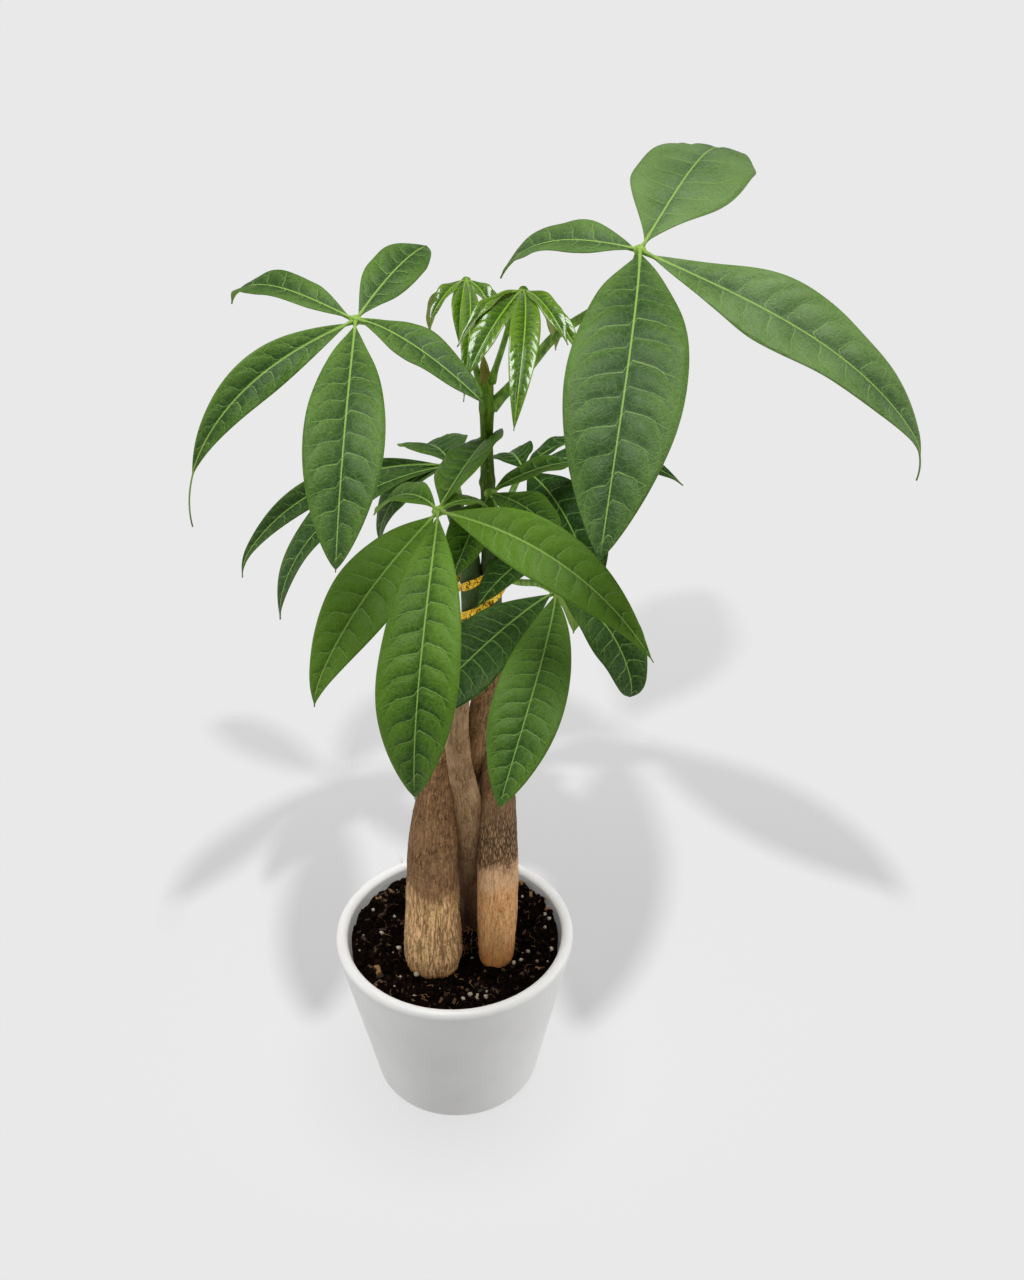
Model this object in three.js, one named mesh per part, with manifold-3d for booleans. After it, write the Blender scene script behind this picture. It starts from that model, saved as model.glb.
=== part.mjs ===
// Potted money tree: braided trunks, whorls of drooping leaflets and a plain tapered ceramic pot.
// Millimetres, +Z up. The origin is the centre of the pot's base and the viewer stands on the -Y side.
import * as THREE from 'three';
import { mergeVertices } from 'three/addons/utils/BufferGeometryUtils.js';
import Module from 'manifold-3d';

// ---- pot and soil
const rimRadius = 67.5;
const baseRadius = 46.8;
const potHeight = 108;
const wallThickness = 6;
const floorThickness = 7;
const lipRound = 3;
const footRound = 4;
const footArcSteps = 4;
const lipArcSteps = 8;
// the inner wall starts a little under the lip and ends in a small chamfer on the floor
const innerLipDepth = 14;
const innerLipStep = 0.8;
const innerBaseStep = 1;
const innerChamfer = 3;
const potSegments = 56;

const soilLevel = 97;
const soilEdgeDrop = 2;
const soilMound = 1.5;
const moundReach = 60;
const soilRelief = 1.3;
const soilSegments = 40;
const soilRings = 6;
// gap left between two pieces that are laid against each other
const seatGap = 0.3;

// ---- wood: each trunk is a list of x, y, z and radius up its middle line
const trunkSides = 12;
const trunkSteps = 28;
const barkRelief = 0.035;
const barkRibs = [{ count: 3, share: 1, twist: 0.05 }, { count: 5, share: 0.6, twist: -0.09 }];
const trunks = {
  trunk_left: [
    [-11.5, -15, 60, 15], [-11.5, -15, 96, 16.5], [-11, -14.5, 130, 15], [-9.5, -13.5, 178, 13.2],
    [-7, -11, 205, 10.8], [-3, -7, 240, 8], [3, 0, 268, 6.6], [10.5, 4.5, 292, 5.5], [12.4, 4.8, 310, 4.9],
    [12.3, 4.8, 340, 4.6], [9, 3.5, 354, 4.4], [4.5, 0, 372, 4],
  ],
  trunk_middle: [
    [8, 18, 60, 9], [8, 17, 96, 9], [8.5, 8, 134, 8.4], [8.5, -3, 170, 7.9], [8.8, -12, 204, 7.1],
    [6, -18, 230, 6.5], [4.5, -19, 254, 6.2], [6, -15.5, 275, 5.7], [10.8, -7.5, 295, 5.2],
    [12.4, -4.9, 310, 4.9], [12.4, -4.9, 342, 4.6], [12.6, -5.6, 357, 4],
  ],
  trunk_right: [
    [23.5, -12, 60, 9.5], [23.5, -12, 96, 10.2], [24.6, -12, 150, 11.3], [24.8, -10.8, 177, 10.4],
    [24.6, -8, 204, 9.4], [24.8, -2, 223, 8.2], [25, 5.5, 242, 7], [22, 9.5, 266, 6], [21.7, 7.5, 292, 5.3],
    [22.2, 4.9, 310, 4.9], [22.2, 4.8, 342, 4.6], [23.5, 6, 358, 4],
  ],
  trunk_back: [
    [-9, 25, 60, 9], [-9, 24, 96, 9.5], [-2, 17, 145, 9], [6, 8, 185, 8.5], [9.5, 3, 212, 7.6],
    [13.5, -3.5, 238, 6.6], [17.5, -5, 264, 6.1], [21, -5, 292, 5.3], [22.3, -4.8, 310, 4.9],
    [22.3, -4.4, 342, 4.5], [21.8, -2.6, 352, 4.2],
  ],
};

// ---- green leader on top of the back trunk
const leaderPath = [
  [21.7, -2.4, 352.3, 3.8], [21, -0.8, 368, 3.1], [21, 0, 382, 3.4], [20.8, 0, 404, 2.8],
  [21, 0, 420, 3.3], [20.6, 0, 432, 3.2], [20.4, 0, 438, 2.2],
];
const leaderSides = 10;
const leaderSteps = 24;
const budPath = [[20.4, 0, 436, 2.4], [20, 0.4, 441, 2.6], [19.6, 0.6, 447, 0.8]];
const budSides = 8;
const budSteps = 5;

// ---- foil ribbon round the strands
const tieCentre = [17.3, 0];
const tieRadius = 12.9;
const tieWidth = 4.6;
const tieThick = 0.9;
const tieTurns = 1.75;
const tieBottom = 319;
const tiePitch = 16;
const tieSlant = 6;
const tieStart = 190;
const tieSteps = 36;

// ---- leaves: a stalk from the wood to a hub, and leaflets that leave the hub.
// az is the heading seen from above (0 to the right, 90 away from the viewer), rise the first slope,
// droop the slope lost by the tip, roll the bank, sweep the turn along the blade; angles in degrees.
const stalkSides = 8;
const stalkSteps = 10;
const hubRadius = 3;
const hubStalk = 1.4;
const bladeThick = 0.8;
const bladeStep = 17;
const fewestSteps = 6;
const tipWidth = 1.4;
// shares of a blade's length: its bare base, and where a hooked tip starts to curl
const bareBase = 0.03;
const curlFrom = 0.85;
const rippleTurns = { left: 2.2, right: 2.5, shift: 2 };
// full and point say how slender the base and the tip of a blade are, fold how far it is folded up
const leafletBase = {
  bend: 1.2, roll: 0, sweep: 0, hook: 0, belly: 0.5, tail: 0.03, wave: 0.8, full: 1.1, point: 1.1, fold: 12,
};
const leaves = {
  leaf_upper_left: {
    stalk: [[18.2, -1, 428], [6, -16, 452], [-16, -36, 473], [-31, -45, 479]], thick: [1.9, 1.4],
    leaflets: [
      { az: 61, rise: 24, droop: 32, long: 66, wide: 22, roll: 18, sweep: 8, bend: 1.4,
        fold: 6, point: 0.65 },
      { az: 153, rise: 14, droop: 62, long: 79, wide: 20, roll: -12, sweep: -20, bend: 2,
        full: 1, hook: 25 },
      { az: 232, rise: -2, droop: 99, long: 124, wide: 17.5, roll: -46, sweep: -30,
        bend: 1.65, tail: 0.2 },
      { az: 273, rise: 0, droop: 62, long: 130, wide: 31, roll: -11, sweep: -8, belly: 0.6,
        full: 1.3, point: 0.75 },
      { az: 316, rise: 14, droop: 46, long: 74, wide: 20, roll: 10, sweep: 9, bend: 0.6,
        point: 1 },
    ],
  },
  leaf_upper_right: {
    stalk: [[23, 0.5, 421], [40, 5, 435], [66, -6, 474], [84, -30, 503]], thick: [2.6, 1.5],
    leaflets: [
      { az: 61, rise: 23, droop: 60, long: 120, wide: 52, roll: 4, sweep: 9, bend: 2.2,
        fold: -6, full: 1.3, point: 0.9, wave: 2 },
      { az: 158, rise: 4, droop: 72, long: 73, wide: 23, roll: -18, sweep: -10, bend: 2,
        belly: 0.42, full: 0.9 },
      { az: 266, rise: 4, droop: 62, long: 161, wide: 45, roll: -3, sweep: -11, bend: 0.9,
        belly: 0.54, point: 0.8, wave: 1.4 },
      { az: 317, rise: -9, droop: 62, long: 160, wide: 33, roll: 28, sweep: 26, bend: 2.2,
        wave: 2, tail: 0.08, hook: 40, point: 1.2 },
    ],
  },
  leaf_front: {
    stalk: [[18.6, -2, 369], [12, -18, 384], [5, -46, 397], [1, -62, 401]], thick: [2, 1.5],
    leaflets: [
      { az: 68, rise: 16, droop: 35, long: 84, wide: 29, roll: -24, sweep: 10, belly: 0.44,
        point: 0.8 },
      { az: 121, rise: 12, droop: 66, long: 60, wide: 18, roll: -16, sweep: 16, bend: 0.8 },
      { az: 248, rise: -2, droop: 66, long: 112, wide: 28, roll: -24, sweep: -22, bend: 1.6,
        hook: 20, point: 1 },
      { az: 271, rise: 8, droop: 104, long: 147, wide: 33, sweep: -14, belly: 0.64,
        full: 1.3, point: 0.8, wave: 1.2 },
      { az: 318, rise: 9, droop: 62, long: 125, wide: 25, roll: 44, sweep: 6, bend: 1.5,
        belly: 0.46 },
      { az: 40, rise: 12, droop: 60, long: 30, wide: 12 },
    ],
  },
  leaf_lower_right: {
    stalk: [[26, -5, 338], [34, -20, 342], [45, -36, 350], [52, -45, 351]], thick: [1.8, 1.4],
    leaflets: [
      { az: 234, rise: 12, droop: 38, long: 106, wide: 33, roll: -14, sweep: -9, bend: 0.6,
        belly: 0.62, point: 0.75 },
      { az: 268, rise: 18, droop: 75, long: 123, wide: 31, roll: -6, sweep: -27, bend: 0.8,
        belly: 0.64, full: 1.3, point: 0.8 },
      { az: 314, rise: 13, droop: 98, long: 70, wide: 25, roll: 13, sweep: -11, wave: 1.6,
        hook: 30, point: 0.5 },
      { az: 55, rise: -40, droop: 50, long: 36, wide: 15 },
    ],
  },
  leaf_back_right: {
    stalk: [[24.5, 7.5, 355.5], [30, 17, 364], [35, 28, 371], [38, 35, 373]], thick: [1.8, 1.4],
    leaflets: [
      { az: 104, rise: 2, droop: 42, long: 45, wide: 22, roll: -15, sweep: -4 },
      { az: 50, rise: 12, droop: 36, long: 62, wide: 20, roll: -20 },
      { az: 9, rise: 16, droop: 60, long: 88, wide: 20, roll: 12 },
      { az: 300, rise: 2, droop: 66, long: 90, wide: 34, roll: 8, sweep: -8, wave: 1.2 },
    ],
  },
  leaf_centre: {
    stalk: [[23, -2, 371], [25, -7, 378], [24, -12, 384], [22, -14, 385]], thick: [1.7, 1.4],
    leaflets: [
      { az: 316, rise: 8, droop: 50, long: 46, wide: 24, bend: 1.5, fold: 10, point: 0.7 },
      { az: 37, rise: 14, droop: 35, long: 60, wide: 16 },
      { az: 258, rise: -4, droop: 50, long: 54, wide: 22, sweep: -20 },
    ],
  },
  leaf_back_left: {
    stalk: [[9, 6, 354], [8, 12, 364], [5, 20, 376], [3, 25, 380]], thick: [1.8, 1.4],
    leaflets: [
      { az: 108, rise: 10, droop: 48, long: 58, wide: 36, sweep: 8, bend: 0.8 },
      { az: 197, rise: 12, droop: 76, long: 127, wide: 14, roll: -50, sweep: 8, bend: 1.3,
        fold: 24, hook: 30, wave: 1.2 },
      { az: 212, rise: 4, droop: 94, long: 126, wide: 23, bend: 1.7, sweep: 6 },
      { az: 211, rise: 4, droop: 98, long: 59, wide: 19 },
    ],
  },
  leaf_low_centre: {
    stalk: [[24, -3, 358], [30, -10, 360], [38, -21, 361], [42, -25, 359]], thick: [1.6, 1.3],
    leaflets: [
      { az: 238, rise: 9, droop: 40, long: 46, wide: 18, sweep: -7 },
      { az: 330, rise: 8, droop: 50, long: 44, wide: 17 },
    ],
  },
  leaf_young_front: {
    stalk: [[23.2, -1, 434], [27, -5, 448], [33, -11, 470], [37, -15, 481]], thick: [1.5, 1.1], young: true,
    leaflets: [
      { az: 236, rise: 8, droop: 44, long: 51, wide: 8, fold: 38 },
      { az: 251, rise: 1, droop: 42, long: 60, wide: 18, sweep: -10, fold: 20, point: 0.8 },
      { az: 274, rise: 4, droop: 62, long: 85, wide: 16, roll: -8, sweep: -16, fold: 18,
        belly: 0.47, point: 0.9 },
      { az: 293, rise: 8, droop: 50, long: 44, wide: 11, sweep: 7, fold: 20 },
      { az: 306, rise: -5, droop: 44, long: 46, wide: 9, fold: 26 },
      { az: 44, rise: -38, droop: 45, long: 40, wide: 13, fold: 16 },
      { az: 100, rise: -30, droop: 50, long: 46, wide: 13, fold: 16 },
    ],
  },
  leaf_young_back: {
    stalk: [[18.4, 1.4, 432], [14, 6, 446], [12, 15, 464], [12, 20, 473]], thick: [1.5, 1.1], young: true,
    leaflets: [
      { az: 244, rise: 8, droop: 50, long: 38, wide: 8.5, fold: 24 },
      { az: 266, rise: 4, droop: 66, long: 42, wide: 10, fold: 24 },
      { az: 278, rise: 6, droop: 60, long: 82, wide: 9, sweep: -17, fold: 18 },
      { az: 303, rise: 3, droop: 58, long: 27, wide: 9, fold: 20 },
      { az: 40, rise: -30, droop: 50, long: 42, wide: 12, fold: 16 },
      { az: 140, rise: -30, droop: 50, long: 40, wide: 12, fold: 16 },
    ],
  },
};

const manifold = await Module();
manifold.setup();

const rad = THREE.MathUtils.degToRad;
const fullTurn = 2 * Math.PI;
const vec = (p) => new THREE.Vector3(p[0], p[1], p[2]);
const lerp = (a, b, t) => a + (b - a) * t;

// A BufferGeometry as a closed solid; shared corners are merged first.
function solidOf(geometry) {
  const bare = geometry.clone();
  bare.deleteAttribute('normal');
  bare.deleteAttribute('uv');
  const merged = mergeVertices(bare, 1e-4);
  const mesh = new manifold.Mesh({
    numProp: 3,
    vertProperties: new Float32Array(merged.attributes.position.array),
    triVerts: new Uint32Array(merged.index.array),
  });
  return new manifold.Manifold(mesh);
}

function geometryOf(solid) {
  const mesh = solid.getMesh();
  const geometry = new THREE.BufferGeometry();
  geometry.setAttribute('position', new THREE.BufferAttribute(mesh.vertProperties, 3));
  geometry.setIndex(new THREE.BufferAttribute(mesh.triVerts, 1));
  geometry.computeVertexNormals();
  return geometry;
}

// Closed skin over a row of rings with the same number of corners. Each ring runs anticlockwise
// seen from the far end, and both ends are capped by a fan.
function skinOf(rings) {
  const count = rings[0].length;
  const positions = rings.flat().flatMap((p) => [p.x, p.y, p.z]);
  const faces = [];
  for (let i = 0; i + 1 < rings.length; i += 1) {
    for (let j = 0; j < count; j += 1) {
      const k = (j + 1) % count;
      const a = i * count + j;
      const b = i * count + k;
      faces.push(a, b, b + count, a, b + count, a + count);
    }
  }
  const last = (rings.length - 1) * count;
  for (let j = 1; j + 1 < count; j += 1) {
    faces.push(0, j + 1, j, last, last + j, last + j + 1);
  }
  const geometry = new THREE.BufferGeometry();
  geometry.setAttribute('position', new THREE.Float32BufferAttribute(positions, 3));
  geometry.setIndex(faces);
  return geometry;
}

// Round tube through points of x, y, z and radius; relief(angle, height) swells its skin.
function tubeOf(points, steps, sides, grow = 0, relief = () => 0) {
  const girths = points.map((p) => new THREE.Vector3(p[3], 0, p[2]));
  const curve = new THREE.CatmullRomCurve3(points.map(vec), false, 'centripetal');
  const radii = new THREE.CatmullRomCurve3(girths, false, 'centripetal');
  const frames = curve.computeFrenetFrames(steps, false);
  const rings = [];
  for (let i = 0; i <= steps; i += 1) {
    const t = i / steps;
    const centre = curve.getPointAt(t);
    const u = curve.getUtoTmapping(t);
    const radius = radii.getPoint(u).x + grow;
    const ring = [];
    for (let j = 0; j < sides; j += 1) {
      const angle = (fullTurn * j) / sides;
      const reach = radius * (1 + relief(angle, centre.z));
      const across = frames.normals[i].clone().multiplyScalar(Math.cos(angle) * reach);
      const along = frames.binormals[i].clone().multiplyScalar(Math.sin(angle) * reach);
      ring.push(centre.clone().add(across).add(along));
    }
    rings.push(ring);
  }
  return skinOf(rings);
}

// Half width of a blade, as a share of its widest, at a share s of its length.
function bladeShare(s, leaflet) {
  const t = Math.min(Math.max((s - bareBase) / (1 - bareBase - leaflet.tail), 0), 1);
  const rising = t < leaflet.belly;
  const run = rising ? t / leaflet.belly : (1 - t) / (1 - leaflet.belly);
  return Math.sin((Math.PI / 2) * run) ** (rising ? leaflet.full : leaflet.point);
}

// Leaflet as a thin folded blade: six corners a ring, the same split on both faces.
function leafletOf(hub, given) {
  const leaflet = { ...leafletBase, ...given };
  const fine = 4;
  const total = Math.max(Math.round(leaflet.long / bladeStep), fewestSteps) * fine;
  const rings = [];
  const point = vec(hub);
  let before = null;
  for (let i = 0; i <= total; i += 1) {
    const s = i / total;
    const curl = leaflet.hook * Math.max((s - curlFrom) / (1 - curlFrom), 0);
    const pitch = rad(leaflet.rise - leaflet.droop * s ** leaflet.bend - curl);
    const heading = rad(leaflet.az + leaflet.sweep * s);
    const forward = new THREE.Vector3(
      Math.cos(pitch) * Math.cos(heading), Math.cos(pitch) * Math.sin(heading), Math.sin(pitch));
    const up = new THREE.Vector3(
      -Math.sin(pitch) * Math.cos(heading), -Math.sin(pitch) * Math.sin(heading), Math.cos(pitch));
    if (before) {
      point.addScaledVector(before.clone().add(forward), leaflet.long / total / 2);
    }
    before = forward;
    if (i % fine === 0) {
      up.applyAxisAngle(forward, rad(leaflet.roll));
      const side = up.clone().cross(forward);
      const half = Math.max(bladeShare(s, leaflet) * leaflet.wide, tipWidth) / 2;
      const ripple = (leaflet.wave * half * 2) / leaflet.wide;
      const leftBeat = Math.sin(fullTurn * s * rippleTurns.left + leaflet.az);
      const rightBeat = Math.sin(fullTurn * s * rippleTurns.right + leaflet.az + rippleTurns.shift);
      const row = [[1, leftBeat], [0, 0], [-1, rightBeat]].map(([k, beat]) => {
        const lift = Math.abs(k) * half * Math.sin(rad(leaflet.fold)) + ripple * beat;
        return point.clone().addScaledVector(side, k * half * Math.cos(rad(leaflet.fold)))
          .addScaledVector(up, lift);
      });
      const top = row.map((p) => p.clone().addScaledVector(up, bladeThick / 2));
      const under = row.map((p) => p.clone().addScaledVector(up, -bladeThick / 2));
      rings.push([...top, ...under.reverse()]);
    }
  }
  return skinOf(rings);
}

// A whole leaf: stalk, hub and leaflets joined into one solid.
function leafOf(leaf) {
  const last = leaf.stalk.length - 1;
  const hubPlace = leaf.stalk[last];
  const stalk = leaf.stalk.map((p, i) => [...p, lerp(leaf.thick[0], leaf.thick[1], i / last)]);
  const hub = new THREE.IcosahedronGeometry(hubRadius * (leaf.thick[1] / hubStalk), leaf.young ? 0 : 1);
  hub.translate(...hubPlace);
  let solid = solidOf(tubeOf(stalk, stalkSteps, stalkSides)).add(solidOf(hub));
  for (const leaflet of leaf.leaflets) {
    solid = solid.add(solidOf(leafletOf(hubPlace, leaflet)));
  }
  return solid;
}

const innerTop = rimRadius - wallThickness - innerLipStep;
const innerBase = baseRadius - wallThickness + innerBaseStep;

// Outline of the pot in radius and height, from the middle of its base round to the middle of its floor.
function potProfile() {
  const arc = (cx, cy, radius, from, to, steps) => {
    const points = [];
    for (let i = 0; i <= steps; i += 1) {
      const angle = rad(lerp(from, to, i / steps));
      points.push(new THREE.Vector2(cx + radius * Math.cos(angle), cy + radius * Math.sin(angle)));
    }
    return points;
  };
  return [
    new THREE.Vector2(0, 0),
    ...arc(baseRadius - footRound, footRound, footRound, -90, -10, footArcSteps),
    ...arc(rimRadius - lipRound, potHeight - lipRound, lipRound, -10, 190, lipArcSteps),
    new THREE.Vector2(innerTop, potHeight - innerLipDepth),
    new THREE.Vector2(innerBase, floorThickness + innerChamfer),
    new THREE.Vector2(innerBase - innerChamfer, floorThickness),
    new THREE.Vector2(0, floorThickness),
  ];
}

// Radius of the pot's inner wall at a height.
function innerRadiusAt(z) {
  const wallFoot = floorThickness + innerChamfer;
  return lerp(innerBase, innerTop, (z - wallFoot) / (potHeight - innerLipDepth - wallFoot));
}

function lathe(profile, segments) {
  const geometry = new THREE.LatheGeometry(profile, segments);
  geometry.rotateX(Math.PI / 2);
  return geometry;
}

// Rounded crumbs and hollows of the potting soil: waves of a few centimetres over a low mound.
function soilHeight(x, y) {
  const lumps = Math.sin(x * 0.31 + 1.3) * Math.cos(y * 0.27) + 0.6 * Math.sin(x * 0.52 - y * 0.44);
  const mound = soilMound * Math.cos((Math.hypot(x, y) / moundReach) * 1.6);
  return soilLevel + soilRelief * lumps + mound - 1;
}

function soilSolid() {
  const outer = innerRadiusAt(soilLevel - soilEdgeDrop) - seatGap;
  const floor = floorThickness + seatGap;
  const profile = [
    new THREE.Vector2(0, floor),
    new THREE.Vector2(innerBase - innerChamfer - 2 * seatGap, floor),
    new THREE.Vector2(innerBase - seatGap, floor + innerChamfer),
  ];
  for (let i = 0; i < soilRings; i += 1) {
    profile.push(new THREE.Vector2(outer * (1 - i / soilRings), soilLevel));
  }
  profile.push(new THREE.Vector2(0, soilLevel));
  const geometry = lathe(profile, soilSegments);
  const position = geometry.attributes.position;
  for (let i = 0; i < position.count; i += 1) {
    const edge = Math.hypot(position.getX(i), position.getY(i));
    if (position.getZ(i) > soilLevel - 1) {
      const height = soilHeight(position.getX(i), position.getY(i));
      position.setZ(i, edge > outer - 1 ? soilLevel - soilEdgeDrop : height);
    }
  }
  return solidOf(geometry);
}

// Ribbon wound round the strands, each turn dipping to one side.
function tieSolid() {
  const rings = [];
  for (let i = 0; i <= tieSteps; i += 1) {
    const turn = (i / tieSteps) * tieTurns;
    const angle = rad(tieStart) + turn * fullTurn;
    const out = new THREE.Vector3(Math.cos(angle), Math.sin(angle), 0);
    const z = tieBottom + turn * tiePitch + tieSlant * Math.cos(angle);
    const centre = new THREE.Vector3(tieCentre[0], tieCentre[1], z).addScaledVector(out, tieRadius);
    rings.push([[1, -1], [-1, -1], [-1, 1], [1, 1]].map(([a, b]) => centre.clone()
      .addScaledVector(out, (a * tieThick) / 2)
      .add(new THREE.Vector3(0, 0, (b * tieWidth) / 2))));
  }
  return solidOf(skinOf(rings));
}

// Low ribs that wind up a trunk.
function barkSwell(angle, z) {
  const ribs = barkRibs.map((rib) => rib.share * Math.sin(rib.count * angle + z * rib.twist));
  return barkRelief * ribs.reduce((sum, rib) => sum + rib, 0);
}

const trunkSolid = (name, grow) => solidOf(tubeOf(trunks[name], trunkSteps, trunkSides, grow, barkSwell));

// Each solid is cut by the ones that were laid before it, grown by the seat gap.
const solids = {};
const grown = [];
for (const name of Object.keys(trunks)) {
  let solid = trunkSolid(name, 0);
  for (const other of grown) {
    solid = solid.subtract(other);
  }
  solids[name] = solid;
  grown.push(trunkSolid(name, seatGap));
}
const leader = solidOf(tubeOf(leaderPath, leaderSteps, leaderSides));
solids.leader_shoot = leader.add(solidOf(tubeOf(budPath, budSteps, budSides)));
for (const other of grown) {
  solids.leader_shoot = solids.leader_shoot.subtract(other);
}
grown.push(solidOf(tubeOf(leaderPath, leaderSteps, leaderSides, seatGap)));
solids.soil = soilSolid();
for (const other of grown) {
  solids.soil = solids.soil.subtract(other);
}
for (const [name, leaf] of Object.entries(leaves)) {
  solids[name] = leafOf(leaf);
  for (const other of grown) {
    solids[name] = solids[name].subtract(other);
  }
}
solids.twist_tie = tieSolid();
solids.pot = solidOf(lathe(potProfile(), potSegments));

function finish(color, roughness, metalness = 0) {
  return new THREE.MeshStandardMaterial({ color, roughness, metalness });
}

const ceramic = finish(0xeeeeec, 0.45);
const earth = finish(0x2b211b, 0.95);
const bark = finish(0x8a6a4c, 0.85);
const greenBark = finish(0x3f6a24, 0.6);
const gold = finish(0xd6a52c, 0.3, 1);
const matureLeaf = finish(0x3f7a2c, 0.45);
const youngLeaf = finish(0x6fae2a, 0.25);
const named = { pot: ceramic, soil: earth, twist_tie: gold, leader_shoot: greenBark };

function materialOf(name) {
  if (name.startsWith('trunk')) {
    return bark;
  }
  return named[name] ?? (name.includes('young') ? youngLeaf : matureLeaf);
}

const tree = new THREE.Group();
for (const [name, solid] of Object.entries(solids)) {
  const mesh = new THREE.Mesh(geometryOf(solid), materialOf(name));
  mesh.name = name;
  tree.add(mesh);
}

export default tree;
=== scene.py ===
import math
import random

import bmesh
import bpy
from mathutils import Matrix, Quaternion, Vector, noise


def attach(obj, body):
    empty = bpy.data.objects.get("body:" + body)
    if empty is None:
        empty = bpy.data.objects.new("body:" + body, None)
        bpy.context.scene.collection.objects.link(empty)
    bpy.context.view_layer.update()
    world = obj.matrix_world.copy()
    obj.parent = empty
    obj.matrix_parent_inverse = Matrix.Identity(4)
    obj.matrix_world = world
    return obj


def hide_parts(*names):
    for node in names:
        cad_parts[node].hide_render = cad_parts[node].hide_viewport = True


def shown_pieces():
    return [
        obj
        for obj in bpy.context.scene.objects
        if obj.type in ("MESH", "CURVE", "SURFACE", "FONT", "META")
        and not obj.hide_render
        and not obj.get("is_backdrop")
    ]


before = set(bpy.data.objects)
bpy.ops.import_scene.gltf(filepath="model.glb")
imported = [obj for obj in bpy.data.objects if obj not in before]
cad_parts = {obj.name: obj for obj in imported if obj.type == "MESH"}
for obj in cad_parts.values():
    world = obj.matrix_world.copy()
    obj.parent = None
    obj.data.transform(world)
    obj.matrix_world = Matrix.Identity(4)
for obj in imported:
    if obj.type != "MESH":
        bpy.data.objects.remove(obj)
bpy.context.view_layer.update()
mm = 0.001
turn = 2 * math.pi


class Wire:
    # a socket that takes sums: each operator adds a Math node
    def __init__(self, paint, socket):
        self.paint = paint
        self.socket = socket

    def maths(self, operation, *others):
        return self.paint.node("ShaderNodeMath", {"operation": operation}, [self, *others])

    def __add__(self, other):
        return self.maths("ADD", other)

    def __sub__(self, other):
        return self.maths("SUBTRACT", other)

    def __mul__(self, other):
        return self.maths("MULTIPLY", other)

    def __truediv__(self, other):
        return self.maths("DIVIDE", other)

    def __pow__(self, other):
        return self.maths("POWER", other)

    def __rsub__(self, other):
        return self.paint.node("ShaderNodeMath", {"operation": "SUBTRACT"}, [other, self])

    def __rtruediv__(self, other):
        return self.paint.node("ShaderNodeMath", {"operation": "DIVIDE"}, [other, self])

    __radd__ = __add__
    __rmul__ = __mul__

    def __abs__(self):
        return self.maths("ABSOLUTE")

    def fract(self):
        return self.maths("FRACT")

    def most(self, other):
        return self.maths("MAXIMUM", other)


class Paint:
    # one material, built node by node
    def __init__(self, name):
        self.material = bpy.data.materials.new(name)
        self.material.use_nodes = True
        self.tree = self.material.node_tree
        self.tree.nodes.clear()
        self.skin = self.tree.nodes.new("ShaderNodeBsdfPrincipled")
        out = self.tree.nodes.new("ShaderNodeOutputMaterial")
        self.tree.links.new(self.skin.outputs[0], out.inputs["Surface"])

    def node(self, kind, settings=None, values=(), outlet=0):
        made = self.tree.nodes.new(kind)
        for key, value in (settings or {}).items():
            setattr(made, key, value)
        pairs = values.items() if isinstance(values, dict) else enumerate(values)
        for key, value in pairs:
            self.plug(made.inputs[key], value)
        return Wire(self, made.outputs[outlet])

    def plug(self, socket, value):
        if isinstance(value, Wire):
            self.tree.links.new(value.socket, socket)
        elif isinstance(value, tuple) and len(value) == 3 and len(socket.default_value) == 4:
            socket.default_value = (*value, 1)
        else:
            socket.default_value = value

    def place(self, scale=1000.0):
        # the piece's own coordinates, in millimetres at a scale of 1000
        where = self.node("ShaderNodeTexCoord", outlet="Object")
        return self.scaled(where, scale)

    def scaled(self, vector, scale):
        if isinstance(scale, tuple):
            return self.node("ShaderNodeVectorMath", {"operation": "MULTIPLY"}, [vector, scale])
        return self.node("ShaderNodeVectorMath", {"operation": "SCALE"}, {0: vector, "Scale": scale})

    def drawnOut(self, vector, share):
        # a share under one makes a pattern longer up the piece
        return self.scaled(vector, (1.0, 1.0, share))

    def up(self, vector):
        return self.node("ShaderNodeSeparateXYZ", None, [vector], "Z")

    def share(self, name):
        # the single number of a vertex attribute
        return self.node("ShaderNodeAttribute", {"attribute_name": name}, outlet="Fac")

    def shares(self, name):
        # the three numbers of a vertex attribute
        vector = self.node("ShaderNodeAttribute", {"attribute_name": name}, outlet="Vector")
        split = self.node("ShaderNodeSeparateXYZ", None, [vector]).socket.node
        return [Wire(self, split.outputs[k]) for k in range(3)]

    def grain(self, vector, scale, detail=3.0, rough=0.55, distortion=0.0):
        return self.node("ShaderNodeTexNoise", None, {"Vector": vector, "Scale": scale, "Detail": detail,
                                                      "Roughness": rough, "Distortion": distortion})

    def cells(self, vector, scale, feature="F1"):
        return self.node("ShaderNodeTexVoronoi", {"feature": feature}, {"Vector": vector, "Scale": scale},
                         "Distance")

    def between(self, value, low, high):
        # eases from 0 to 1 while value goes from low to high
        return self.node("ShaderNodeMapRange", {"interpolation_type": "SMOOTHSTEP"}, [value, low, high])

    def falls(self, value, low, high):
        # eases from 1 to 0
        return 1.0 - self.between(value, low, high)

    def mix(self, share, first, second):
        # the sockets of a Mix node that mixes colours: factor, A, B and the result
        return self.node("ShaderNodeMix", {"data_type": "RGBA", "clamp_factor": True},
                         {0: share, 6: first, 7: second}, 2)

    def bump(self, height, distance):
        return self.node("ShaderNodeBump", None, {"Height": height, "Distance": distance, "Strength": 1.0})

    def finish(self, **sockets):
        names = {"colour": "Base Color", "roughness": "Roughness", "metallic": "Metallic",
                 "normal": "Normal", "coat": "Coat Weight", "coatRoughness": "Coat Roughness",
                 "specular": "Specular IOR Level", "glow": "Emission Color"}
        for key, value in sockets.items():
            self.plug(self.skin.inputs[names[key]], value)
        return self.material


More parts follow.
